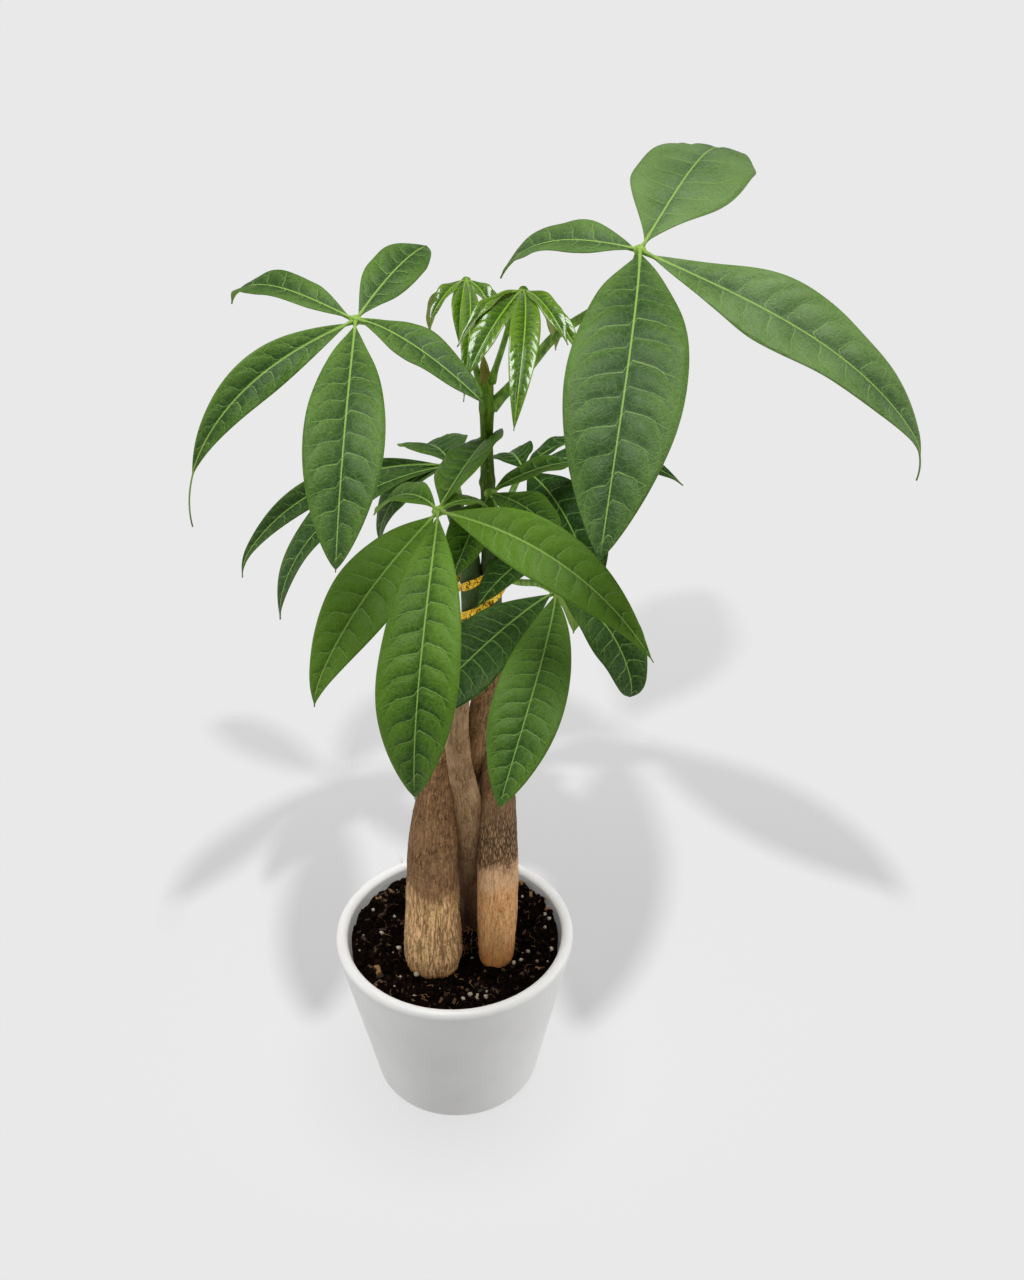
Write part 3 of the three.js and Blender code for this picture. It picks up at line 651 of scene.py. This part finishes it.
# path is x, y, z and radius; fissure and lump are the relief and foot the waist at the soil, in millimetres;
# paint says how this bark differs from barkBase
trunks = {
    "trunk_left": {
        "path": [(-11.5, -15, 60, 15), (-11.5, -15, 96, 16.5), (-11, -14.5, 130, 15),
                 (-9.5, -13.5, 178, 13.2), (-7, -11, 205, 10.8), (-3, -7, 240, 8), (3, 0, 268, 6.6),
                 (10.5, 4.5, 292, 5.5), (12.4, 4.8, 310, 4.9), (12.3, 4.8, 340, 4.6), (9, 3.5, 354, 4.4),
                 (4.5, 0, 372, 4)],
        "sides": 96, "rings": 260, "fissure": 0.55, "lump": 0.5, "foot": 3.0,
        "paint": {"paleTop": 151.0, "crackShow": 0.4, "crackWide": 0.06,
                  "crackColour": (0.15, 0.075, 0.028)}},
    "trunk_middle": {
        "path": [(8, 18, 60, 9), (8, 17, 96, 9), (8.5, 8, 134, 8.4), (8.5, -3, 170, 7.9),
                 (8.9, -12, 204, 7.7), (6, -18, 230, 6.5), (4.5, -19, 254, 6.2), (6, -15.5, 275, 5.7),
                 (10.8, -7.5, 295, 5.2), (12.4, -4.9, 310, 4.9), (12.4, -4.9, 342, 4.6),
                 (12.6, -5.6, 357, 4)],
        "sides": 64, "rings": 240, "fissure": 0.28, "lump": 0.45, "foot": 1.0,
        "paint": {"paleTop": 96.0, "brown": (0.4, 0.235, 0.11), "brownPale": (0.56, 0.38, 0.22),
                  "brownDeep": (0.2, 0.11, 0.045), "crackWide": 0.02, "lowShade": 0.75}},
    "trunk_right": {
        "path": [(23.5, -12, 60, 9.5), (23.5, -12, 96, 10.2), (24.6, -12, 150, 11.3),
                 (24.8, -10.8, 177, 10.4), (24.6, -8, 204, 9.4), (24.8, -2, 223, 8.2), (25, 5.5, 242, 7),
                 (22, 9.5, 266, 6), (21.7, 7.5, 292, 5.3), (22.2, 4.9, 310, 4.9), (22.2, 4.8, 342, 4.6),
                 (23.5, 6, 358, 4)],
        "sides": 72, "rings": 250, "fissure": 0.35, "lump": 0.4, "foot": 1.5,
        "paint": {"paleTop": 169.0, "netBand": 1.0, "crackShow": 0.12, "crackWide": 0.035, "soft": 12.0,
                  "strip": (0.34, 0.64), "footTop": 118.0, "foot": (0.6, 0.22, 0.05),
                  "cream": (0.8, 0.46, 0.2), "tan": (0.4, 0.17, 0.05), "moss": (0.6, 0.31, 0.11),
                  "brown": (0.2, 0.105, 0.045)}},
    "trunk_back": {
        "path": [(-9, 25, 60, 9), (-9, 24, 96, 9.5), (-2, 17, 145, 9), (6, 8, 185, 8.5),
                 (9.5, 3, 212, 7.6), (13.5, -3.5, 238, 6.6), (17.5, -5, 264, 6.1), (21, -5, 292, 5.3),
                 (22.3, -4.8, 310, 4.9), (22.3, -4.4, 342, 4.5), (21.8, -2.6, 352, 4.2)],
        "sides": 64, "rings": 240, "fissure": 0.25, "lump": 0.4, "foot": 1.0,
        "paint": {"paleTop": 96.0, "brown": (0.32, 0.17, 0.065), "brownPale": (0.42, 0.24, 0.1),
                  "lowShade": 0.75, "crackWide": 0.03}},
}


def barkRelief(values, seed):
    paleTop = {**barkBase, **values["paint"]}["paleTop"]

    def swell(angle, along, radius, z):
        c, s = math.cos(angle) * radius, math.sin(angle) * radius
        lump = values["lump"] * noise.fractal(Vector((c * 0.09, s * 0.09, z * 0.035 + seed)), 0.7, 2, 3)
        fine = noise.fractal(Vector((c * 0.42, s * 0.42, z * 0.07 + seed)), 0.8, 2, 3)
        ridge = 1 - min(abs(fine) * 3.2, 1)
        cracked = 1 if z < paleTop else 0.45
        fissure = values["fissure"] * cracked * ridge * (1 - ease(280, 320, z))
        ringShare = (z * 0.045 + seed * 0.37 + lump * 0.2) % 1
        ring = 0.22 * math.exp(-(ringShare / 0.07) ** 2) * ease(150, 200, z)
        uneven = 0.8 + 0.4 * noise.noise(Vector((c * 0.2, s * 0.2, seed)))
        return lump - fissure + ring - values["foot"] * (1 - ease(87, 104, z)) * uneven

    return swell


for number, (trunkName, trunkValues) in enumerate(trunks.items()):
    bm = bmesh.new()
    grainLayer = bm.verts.layers.float_vector.new("grain")

    def keepGrain(vert, angle, along, radius):
        vert[grainLayer] = (math.cos(angle) * radius, math.sin(angle) * radius, along + 40 * number)

    tube(bm, trunkValues["path"], trunkValues["sides"], trunkValues["rings"],
         barkRelief(trunkValues, 3.1 + number * 7.7), keepGrain)
    barkFinish = barkPaint(trunkName.replace("trunk_", "bark_"), {**barkBase, **trunkValues["paint"]})
    finishPiece(bm, trunkName.replace("trunk_", "") + "_trunk", [trunkName], [barkFinish])


def litterPaint(name, dark, light, rough):
    paint = Paint(name)
    where = paint.place()
    tone = paint.share("tone")
    speck = paint.grain(where, 1.1, 4, 0.65)
    colour = paint.mix(paint.between(tone + (speck - 0.5) * 0.8, 0.0, 1.0), dark, light)
    return paint.finish(colour=colour, roughness=rough + (speck - 0.5) * 0.2,
                        normal=paint.bump(speck, 0.4 * mm))


def tonedMesh():
    bm = bmesh.new()
    bm.verts.layers.float.new("tone")
    return bm


def addFibre(bm, path, rings, tone):
    start = len(bm.verts)
    tube(bm, path, 5, rings)
    for vert in freshVerts(bm, start):
        vert[bm.verts.layers.float["tone"]] = tone


# loose fibres that stand off the two front trunks near the soil
barkFibres = {"count": 130, "low": 96, "high": 172, "thick": 0.07, "reach": (1.0, 2.8), "seed": 5,
              "hosts": [(-11.2, -14.7, 15.6), (24, -12, 10.6)], "dark": (0.2, 0.09, 0.03),
              "pale": (0.7, 0.42, 0.18)}
fibreDice = random.Random(barkFibres["seed"])
bm = tonedMesh()
for k in range(barkFibres["count"]):
    hostX, hostY, hostRadius = barkFibres["hosts"][k % 2]
    angle = fibreDice.uniform(0, turn)
    level = fibreDice.uniform(barkFibres["low"], barkFibres["high"])
    reachOut = fibreDice.uniform(*barkFibres["reach"])
    rise, twist = fibreDice.uniform(-2, 3), fibreDice.uniform(-0.12, 0.12)
    path = []
    for j in range(4):
        out = hostRadius - 0.6 + reachOut * j / 3
        heading = angle + twist * j
        path.append((hostX + out * math.cos(heading), hostY + out * math.sin(heading),
                     level + rise * (j / 3) ** 1.5, barkFibres["thick"] * (1 - 0.2 * j)))
    addFibre(bm, path, 8, 0.4 + 0.5 * (k % 3) / 2)
finishPiece(bm, "bark_fibres", ["trunk_left", "trunk_right"],
            [litterPaint("barkFibre", barkFibres["dark"], barkFibres["pale"], 0.7)])

# green leader with its bud; nodes are the heights of its leaf scars
leader = {
    "path": [(21.7, -2.4, 352.3, 3.8), (21, -0.8, 368, 3.1), (21, 0, 382, 3.4), (20.8, 0, 404, 2.8),
             (21, 0, 420, 3.3), (20.6, 0, 432, 3.2), (20.4, 0, 438, 2.2)],
    "bud": [(20.4, 0, 435, 2.1), (20, 0.4, 440, 2.0), (19.6, 0.6, 445, 0.6)],
    "nodes": (368, 384, 421, 431), "swell": 0.5,
    "deep": (0.03, 0.07, 0.004), "green": (0.085, 0.155, 0.01),
    "freshDeep": (0.055, 0.13, 0.005), "fresh": (0.14, 0.26, 0.014), "dots": (0.3, 0.32, 0.1),
    "budDeep": (0.08, 0.1, 0.006), "budPale": (0.24, 0.2, 0.03),
}


def leaderSwell(angle, along, radius, z):
    rings = sum(math.exp(-((z - level) / 2.2) ** 2) for level in leader["nodes"])
    ribs = 0.12 * math.sin(5 * angle + z * 0.05)
    return leader["swell"] * rings * (1 + 0.5 * math.cos(angle - z * 0.4)) + ribs


def leaderPaint():
    paint = Paint("leaderGreen")
    where = paint.place()
    height = paint.up(where)
    fibre = paint.grain(paint.drawnOut(where, 0.14), 0.8, 5, 0.6)
    dots = paint.falls(paint.cells(paint.drawnOut(where, 0.6), 0.42), 0.12, 0.26)
    young = paint.between(height + (fibre - 0.5) * 20.0, 385.0, 435.0)
    streak = paint.between(fibre, 0.3, 0.7)
    skin = paint.mix(streak, leader["deep"], leader["green"])
    skin = paint.mix(young, skin, paint.mix(streak, leader["freshDeep"], leader["fresh"]))
    skin = paint.mix(dots * 0.35, skin, leader["dots"])
    bud = paint.between(height + (fibre - 0.5) * 8.0, 431.0, 437.0)
    skin = paint.mix(bud, skin, paint.mix(fibre, leader["budDeep"], leader["budPale"]))
    return paint.finish(colour=skin, roughness=0.42 + fibre * 0.2,
                        normal=paint.bump(fibre + dots * 0.6, 0.35 * mm), specular=0.15)


bm = bmesh.new()
tube(bm, leader["path"], 40, 150, leaderSwell)
tube(bm, leader["bud"], 24, 24)
finishPiece(bm, "leader_stem", ["leader_shoot"], [leaderPaint()])
print("wood and leader done")

# a plain tapered cup, spun from its wall
pot = {"rim": 66.8, "base": 47.6, "height": 104, "wall": 7.8, "floor": 7, "lip": 3.3, "foot": 5,
       "steps": 176, "sideRows": 24, "glaze": (0.67, 0.665, 0.653), "glazePale": (0.72, 0.715, 0.703),
       "pit": (0.5, 0.48, 0.45), "paintedBaseShade": (0.3, 0.29, 0.28)}


def arcPoints(x, z, radius, first, last, count):
    turns = [math.radians(first + (last - first) * k / count) for k in range(count + 1)]
    return [(x + radius * math.cos(a), z + radius * math.sin(a)) for a in turns]


def spinProfile(bm, profile, steps):
    # a chain of verts in the xz plane, turned once round the z axis and closed at its poles
    chain = [bm.verts.new((x, 0, z)) for x, z in profile]
    edges = [bm.edges.new(pair) for pair in zip(chain, chain[1:])]
    bmesh.ops.spin(bm, geom=[*chain, *edges], cent=(0, 0, 0), axis=(0, 0, 1), dvec=(0, 0, 0), angle=turn,
                   steps=steps, use_merge=True, use_normal_flip=False, use_duplicate=False)
    bmesh.ops.remove_doubles(bm, verts=bm.verts[:], dist=1e-4)


innerTop = pot["rim"] - pot["wall"]
innerBase = pot["base"] - pot["wall"] + 1
wallLine = [(innerTop - 0.8, pot["height"] - 16), (innerBase, pot["floor"] + 3),
            (innerBase - 3, pot["floor"])]
outside = arcPoints(pot["base"] - pot["foot"], pot["foot"], pot["foot"], -90, -10, 10)
rimCurve = arcPoints(pot["rim"] - pot["lip"], pot["height"] - pot["lip"], pot["lip"], -10, 190, 22)
side = [tuple(a + (b - a) * k / pot["sideRows"] for a, b in zip(outside[-1], rimCurve[0]))
        for k in range(1, pot["sideRows"])]
bm = bmesh.new()
spinProfile(bm, [(0, 0), (20, 0), *outside, *side, *rimCurve, *wallLine, (0, pot["floor"])], pot["steps"])


def potPaint():
    paint = Paint("matteCeramic")
    where = paint.place()
    cloud = paint.grain(where, 0.02, 3)
    fine = paint.grain(where, 0.6, 4, 0.6)
    pits = paint.falls(paint.cells(where, 0.22), 0.02, 0.06)
    glaze = paint.mix(paint.between(cloud, 0.3, 0.7), pot["glaze"], pot["glazePale"])
    glaze = paint.mix(pits * 0.3, glaze, pot["pit"])
    # painted shade: the bottom few millimetres are darker where the pot meets the floor
    glaze = paint.mix(paint.falls(paint.up(where), 0.5, 2.6) * 0.7, glaze, pot["paintedBaseShade"])
    return paint.finish(colour=glaze, roughness=0.42 + (fine - 0.5) * 0.12,
                        normal=paint.bump(fine * 0.6 + cloud * 4.0 - pits * 0.4, 0.08 * mm), specular=0.45)


finishPiece(bm, "ceramic_pot", ["pot"], [potPaint()])

# relief, rough and bank shape the top, hidden is the outline below it, spread the reach of the loose bits
soil = {"level": 93, "relief": 1.3, "rough": 1.5, "outer": 58.4, "bank": 5.5, "steps": 210, "rings": 56,
        "hidden": [(38.2, 10.5), (35.4, 7.4), (0, 7.4)], "spread": 57.5, "seed": 7, "clods": 1100,
        "chips": 170, "fibres": 70, "grains": 46, "roots": 26, "deep": (0.0025, 0.0015, 0.001),
        "earth": (0.013, 0.007, 0.0045), "fibreColour": (0.05, 0.025, 0.012), "lump": (0.012, 0.006, 0.004),
        "crumb": (0.04, 0.021, 0.012), "chipDark": (0.03, 0.014, 0.007), "chipPale": (0.42, 0.22, 0.08),
        "grainDark": (0.3, 0.22, 0.1), "grainPale": (0.78, 0.7, 0.55)}
# pale grains and tan chips that stand out: x, y and size
brightGrains = [(23.9, -15.5, 3.2), (30.6, -10, 2.6), (33.4, -20.1, 2.5), (37.3, -19.3, 2.2),
                (-20.3, -29.2, 3.0), (9.7, -45.5, 3.0), (13.5, -47.7, 3.0), (6, -49.1, 2.7),
                (-31.5, -8.5, 2.9), (-41.8, 1.8, 2.6), (-28.9, -32.2, 2.0), (18.2, -48.4, 2.6),
                (53.1, 22.3, 2.8), (51.2, 15.6, 2.3), (53.4, 11.5, 2.2), (51.1, 6.7, 2.0),
                (54, -13.2, 2.7), (41.2, -11.6, 2.2), (-48, 21, 2.2)]
tanChips = [(-41.5, -27.5, 6.5), (43.4, 33.2, 4.0), (50.3, 29, 3.6), (53.2, 18.5, 4.2), (-38.5, 36.6, 4.0),
            (-45.5, 29, 3.4), (46, -26, 3.2), (-25, 46, 4.0), (14, 54, 4.5), (38, 42, 3.4)]
trunkFeet = [(-11.5, -15, 16.8), (8, 17, 9.2), (23.5, -12, 10.4), (-9, 24, 9.7)]
dice = random.Random(soil["seed"])


def soilHeight(x, y):
    lumps = math.sin(x * 0.31 + 1.3) * math.cos(y * 0.27) + 0.6 * math.sin(x * 0.52 - y * 0.44)
    return soil["level"] + soil["relief"] * lumps + soil["bank"] * ease(26, 56, math.hypot(x, y))


def soilTop(x, y):
    rough = noise.fractal(Vector((x * 0.22, y * 0.22, 0.5)), 0.8, 2, 5)
    return soilHeight(x, y) + soil["rough"] * rough


def freeSpot(gap):
    # a spot on the soil clear of the wood and of the pot's wall
    while True:
        x, y = dice.uniform(-58, 58), dice.uniform(-58, 58)
        clear = all(math.hypot(x - a, y - b) > r + gap for a, b, r in trunkFeet)
        if math.hypot(x, y) < soil["spread"] - gap and clear:
            return x, y


def soilPaint():
    paint = Paint("pottingSoil")
    where = paint.place()
    tone = paint.share("tone")
    crumb = paint.grain(where, 0.55, 6, 0.7)
    lump = paint.grain(where, 0.12, 3)
    fibre = paint.grain(paint.scaled(where, (1.0, 0.25, 1.0)), 1.2, 3, 0.6, 1.5)
    earth = paint.mix(paint.between(crumb, 0.35, 0.7), soil["deep"], soil["earth"])
    earth = paint.mix(paint.between(fibre, 0.62, 0.72) * 0.5, earth, soil["fibreColour"])
    earth = paint.mix(paint.between(lump, 0.5, 0.7) * 0.4, earth, soil["lump"])
    earth = paint.mix(paint.between(tone, 0.0, 1.0) * 0.5, earth, soil["crumb"])
    return paint.finish(colour=earth, roughness=0.85 + (crumb - 0.5) * 0.3,
                        normal=paint.bump(crumb + fibre * 0.4, 0.8 * mm), specular=0.03)


def scatter(bm, kind, x, y, size, tone, sink=0.3, stretch=(1, 1, 1)):
    # drops one clod, chip or grain on the soil, sunk by a share of its height
    if kind == "chip":
        bits = bmesh.ops.create_cube(bm, size=1)["verts"]
    else:
        bits = bmesh.ops.create_icosphere(bm, subdivisions=1 if kind == "clod" else 2, radius=0.5)["verts"]
    for vert in bits:
        vert.co *= 1 + dice.uniform(-0.22, 0.22)
        vert[bm.verts.layers.float["tone"]] = tone
    bmesh.ops.scale(bm, vec=tuple(size * s for s in stretch), verts=bits)
    tilt = Quaternion(Vector([dice.uniform(-1, 1) for _ in range(3)]).normalized(), dice.uniform(0, 3))
    if kind == "chip":
        tilt = Quaternion((0, 0, 1), dice.uniform(0, turn)) @ Quaternion((1, 0, 0), dice.uniform(-0.5, 0.5))
    bmesh.ops.rotate(bm, verts=bits, matrix=tilt.to_matrix(), cent=(0, 0, 0))
    bmesh.ops.translate(bm, verts=bits, vec=(x, y, soilTop(x, y) + size * min(stretch) * (0.5 - sink)))


bm = tonedMesh()
reach = soil["outer"]
radii = [reach * k / soil["rings"] for k in range(soil["rings"] + 1)]
crown = [*((r, soil["level"]) for r in radii), (reach - 0.2, soil["level"] - 5)]
spinProfile(bm, [*crown, *soil["hidden"]], soil["steps"])
for vert in bm.verts:
    if vert.co.z > soil["level"] - 1:
        edge = math.hypot(vert.co.x, vert.co.y)
        vert.co.z = soilTop(vert.co.x, vert.co.y) - 1.0 * ease(reach - 3, reach, edge)
for k in range(soil["clods"]):
    x, y = freeSpot(0.2)
    scatter(bm, "clod", x, y, dice.uniform(1.1, 3.6), dice.uniform(0, 0.9) ** 2)
finishPiece(bm, "potting_soil", ["soil"], [soilPaint()], smooth=False)

bm = tonedMesh()
for x, y, size in tanChips:
    scatter(bm, "chip", x, y, size, dice.uniform(0.7, 1), 0.2, (1, 0.45, 0.3))
for k in range(soil["chips"]):
    x, y = freeSpot(1)
    scatter(bm, "chip", x, y, dice.uniform(1.4, 4.5), dice.uniform(0, 0.6) ** 1.5, 0.2, (1, 0.4, 0.25))
for k in range(soil["fibres"]):
    x, y = freeSpot(3)
    heading, reachOut = dice.uniform(0, turn), dice.uniform(3, 9)
    path = []
    for j in range(4):
        px = x + math.cos(heading) * reachOut * j / 3
        py = y + math.sin(heading) * reachOut * j / 3
        middle = j in (1, 2)
        path.append((px, py, soilTop(px, py) + 0.5 + dice.uniform(0, 1.2) * middle,
                     0.16 if middle else 0.1))
        heading += dice.uniform(-0.7, 0.7)
    addFibre(bm, path, 10, dice.uniform(0.3, 0.95))
for k in range(soil["roots"]):
    # root hairs climb between the trunks
    x, y = dice.uniform(3, 15), dice.uniform(-14, 8)
    path = []
    for j in range(4):
        path.append((x, y, soilTop(x, y) + (0, 3, 5.5, 7)[j] * dice.uniform(0.4, 1), 0.22 - 0.04 * j))
        x += dice.uniform(-2.2, 2.2)
        y += dice.uniform(-1.5, 2.5)
    addFibre(bm, path, 10, 0.75)
finishPiece(bm, "wood_chips", ["soil"],
            [litterPaint("woodChips", soil["chipDark"], soil["chipPale"], 0.75)], smooth=False)

bm = tonedMesh()
for x, y, size in brightGrains:
    scatter(bm, "grain", x, y, size, dice.uniform(0.55, 1), 0.15)
for k in range(soil["grains"]):
    x, y = freeSpot(0.5)
    scatter(bm, "grain", x, y, dice.uniform(0.7, 1.9), dice.uniform(0.1, 0.9), 0.2)
finishPiece(bm, "pale_grains", ["soil"],
            [litterPaint("paleGrains", soil["grainDark"], soil["grainPale"], 0.6)])
print("pot and soil done")

# foil ribbon round the strands
tie = {"centre": (17.3, 0), "radius": 12.9, "wide": 4.6, "turns": 1.75, "bottom": 319, "pitch": 16,
       "slant": 6, "start": 190, "rows": 260, "columns": 10, "thick": 0.25, "crinkle": 0.55,
       "deep": (0.55, 0.28, 0.006), "gold": (1.0, 0.68, 0.06), "paintedFoldShade": (0.1, 0.05, 0.002),
       "paintedFoldHighlight": (1.0, 0.85, 0.2)}


def tiePaint():
    paint = Paint("goldFoil")
    where = paint.place()
    crease = paint.grain(where, 0.9, 4, 0.6)
    worn = paint.between(paint.grain(where, 0.5, 3), 0.52, 0.7)
    paintedFoldLight = paint.grain(paint.drawnOut(where, 0.45), 0.55, 3, 0.6, 1.0)
    foil = paint.mix(crease, tie["deep"], tie["gold"])
    # painted shade in the folds of the foil and painted highlights on their crests
    foil = paint.mix(paint.falls(paintedFoldLight, 0.36, 0.5), foil, tie["paintedFoldShade"])
    foil = paint.mix(paint.between(paintedFoldLight, 0.6, 0.7), foil, tie["paintedFoldHighlight"])
    facets = paint.cells(where, 0.75)
    return paint.finish(colour=foil, metallic=1.0 - worn * 0.2, roughness=0.12 + crease * 0.2,
                        normal=paint.bump(facets + crease, 0.5 * mm))


bm = bmesh.new()
bmesh.ops.create_grid(bm, x_segments=tie["columns"], y_segments=tie["rows"], size=1)
ribbonTop = len(bm.verts)
bmesh.ops.extrude_face_region(bm, geom=[*bm.verts, *bm.edges, *bm.faces], use_keep_orig=True)
for k, vert in enumerate(freshVerts(bm, 0)):
    turns = (vert.co.y + 1) / 2 * tie["turns"]
    angle = math.radians(tie["start"]) + turns * turn
    out = Vector((math.cos(angle), math.sin(angle), 0))
    crumple = Vector((turns * 13, vert.co.x * 1.3, 0.4))
    push = tie["crinkle"] * (noise.noise(crumple) + 0.6 * noise.noise(crumple * 2.3))
    edgeWave = 0.35 * noise.noise(Vector((turns * 16, 3, 1))) * vert.co.x
    height = tie["bottom"] + turns * tie["pitch"] + tie["slant"] * math.cos(angle) + edgeWave
    depth = push + (tie["thick"] / 2 if k < ribbonTop else -tie["thick"] / 2)
    vert.co = Vector((*tie["centre"], height + vert.co.x * tie["wide"] / 2)) + out * (tie["radius"] + depth)
finishPiece(bm, "gold_foil_tie", ["twist_tie"], [tiePaint()], smooth=False)

# pale floor, soft lights and the photograph's camera
studio = {"camera": (0.0323, -0.626, 0.697), "pitchDown": 32.6, "focal": 1500, "frameHeight": 1280,
          "sensor": 36, "background": 0.815, "world": 0.22, "floorColour": 0.3, "floorSize": 12}

cameraData = bpy.data.cameras.new("camera")
cameraData.sensor_width = studio["sensor"]
cameraData.lens = studio["sensor"] * studio["focal"] / studio["frameHeight"]
cameraData.clip_start = 0.01
camera = bpy.data.objects.new("camera", cameraData)
camera.location = studio["camera"]
camera.rotation_euler = (math.radians(90 - studio["pitchDown"]), 0, 0)
bpy.context.scene.collection.objects.link(camera)
bpy.context.scene.camera = camera

world = bpy.data.worlds.new("studioAir")
world.use_nodes = True
air = world.node_tree.nodes["Background"]
air.inputs["Color"].default_value = (1, 1, 1, 1)
air.inputs["Strength"].default_value = studio["world"]
bpy.context.scene.world = world
bpy.context.scene.view_settings.view_transform = "Standard"

bm = bmesh.new()
bmesh.ops.create_grid(bm, x_segments=4, y_segments=4, size=studio["floorSize"])
bmesh.ops.translate(bm, verts=bm.verts[:], vec=(0, 0, -0.0002))
floorMesh = bpy.data.meshes.new("floor")
bm.to_mesh(floorMesh)
bm.free()
floor = bpy.data.objects.new("floor", floorMesh)
bpy.context.scene.collection.objects.link(floor)
# lamps that light the floor alone: a small one throws the shadows, a broad one darkens it at the pot
shadowLamp = {"place": (0.05, -0.41, 1.03), "aim": (0.05, -0.41, 0), "size": 0.03, "power": 13,
              "lights": "floor", "shadedBy": "high"}
contactLamp = {"place": (0.03, 0.0, 1.1), "aim": (0.03, 0.0, 0), "size": 0.8, "power": 5,
               "lights": "floor", "shadedBy": "pot"}
floorPaint = Paint("paleFloor")


def lampGlow(lamp):
    # light that a disk looking straight down throws back from the bare floor
    away = floorPaint.node("ShaderNodeVectorMath", {"operation": "DISTANCE"},
                           [floorPaint.place(1.0), lamp["place"]], "Value") ** 2.0
    disk, height = (lamp["size"] / 2) ** 2, lamp["place"][2] ** 2
    spread = ((away + disk) ** 2.0 - (away - height) * (4 * disk)) ** 0.5
    seen = (spread - away + disk) / spread * 0.5
    return seen * (studio["floorColour"] * lamp["power"] / (math.pi ** 2 * disk))


# the floor glows just enough to look even where nothing shades it
floorPaint.finish(colour=(studio["floorColour"],) * 3, roughness=1.0, specular=0.0,
                  glow=studio["background"] - studio["floorColour"] * studio["world"] - lampGlow(shadowLamp)
                  - lampGlow(contactLamp))
floorPaint.skin.inputs["Emission Strength"].default_value = 1
floorMesh.materials.append(floorPaint.material)
floor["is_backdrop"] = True

# each lamp's place, target, size and power, what it lights if not the whole plant, and what shades it if
# not everything; the last two light the floor alone
softboxes = {
    "overhead": {"place": (0.0, -0.15, 1.7), "aim": (0.02, -0.02, 0.3), "size": 0.9, "power": 18.5},
    "leftSide": {"place": (-1.3, 0, 0.7), "aim": (0, 0, 0.25), "size": 0.9, "power": 4.5},
    "rightSide": {"place": (1.3, 0, 0.7), "aim": (0, 0, 0.25), "size": 0.9, "power": 4.5},
    "potLeft": {"place": (-1.3, 0, 0.5), "aim": (0, 0, 0.05), "size": 0.9, "power": 1.4,
                "lights": "pot", "shadedBy": "pot"},
    "potRight": {"place": (1.3, 0, 0.5), "aim": (0, 0, 0.05), "size": 0.9, "power": 4.2,
                 "lights": "pot", "shadedBy": "pot"},
    "trunkFill": {"place": (0, -1.3, 0.55), "aim": (0, 0, 0.17), "size": 0.5, "power": 5,
                  "lights": "wood"},
    "potTop": {"place": (0, -0.1, 1.35), "aim": (0, 0, 0.1), "size": 0.6, "power": 8.5,
               "lights": "pot", "shadedBy": "pot"},
    "shadows": shadowLamp,
    "contact": contactLamp,
}
lowLeaves = ("front_leaf", "lower_right_leaf")
members = {"plant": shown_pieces(), "floor": [floor],
           "pot": [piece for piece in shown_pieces() if piece.name == "ceramic_pot"],
           "high": [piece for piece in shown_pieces()
                    if ("leaf" in piece.name or "trunk" in piece.name) and piece.name not in lowLeaves],
           "wood": [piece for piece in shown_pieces() if piece.name in ("left_trunk", "right_trunk")]}
groups = {}
for groupName, things in members.items():
    groups[groupName] = bpy.data.collections.new(groupName)
    for thing in things:
        groups[groupName].objects.link(thing)
for boxName, values in softboxes.items():
    lamp = bpy.data.lights.new(boxName, "AREA")
    lamp.shape = "DISK"
    lamp.size = values["size"]
    lamp.energy = values["power"]
    box = bpy.data.objects.new(boxName, lamp)
    box.location = values["place"]
    box.rotation_euler = (Vector(values["aim"]) - box.location).to_track_quat("-Z", "Y").to_euler()
    box.visible_camera = False
    box.light_linking.receiver_collection = groups[values.get("lights", "plant")]
    if "shadedBy" in values:
        box.light_linking.blocker_collection = groups[values["shadedBy"]]
    bpy.context.scene.collection.objects.link(box)
print("studio ready")
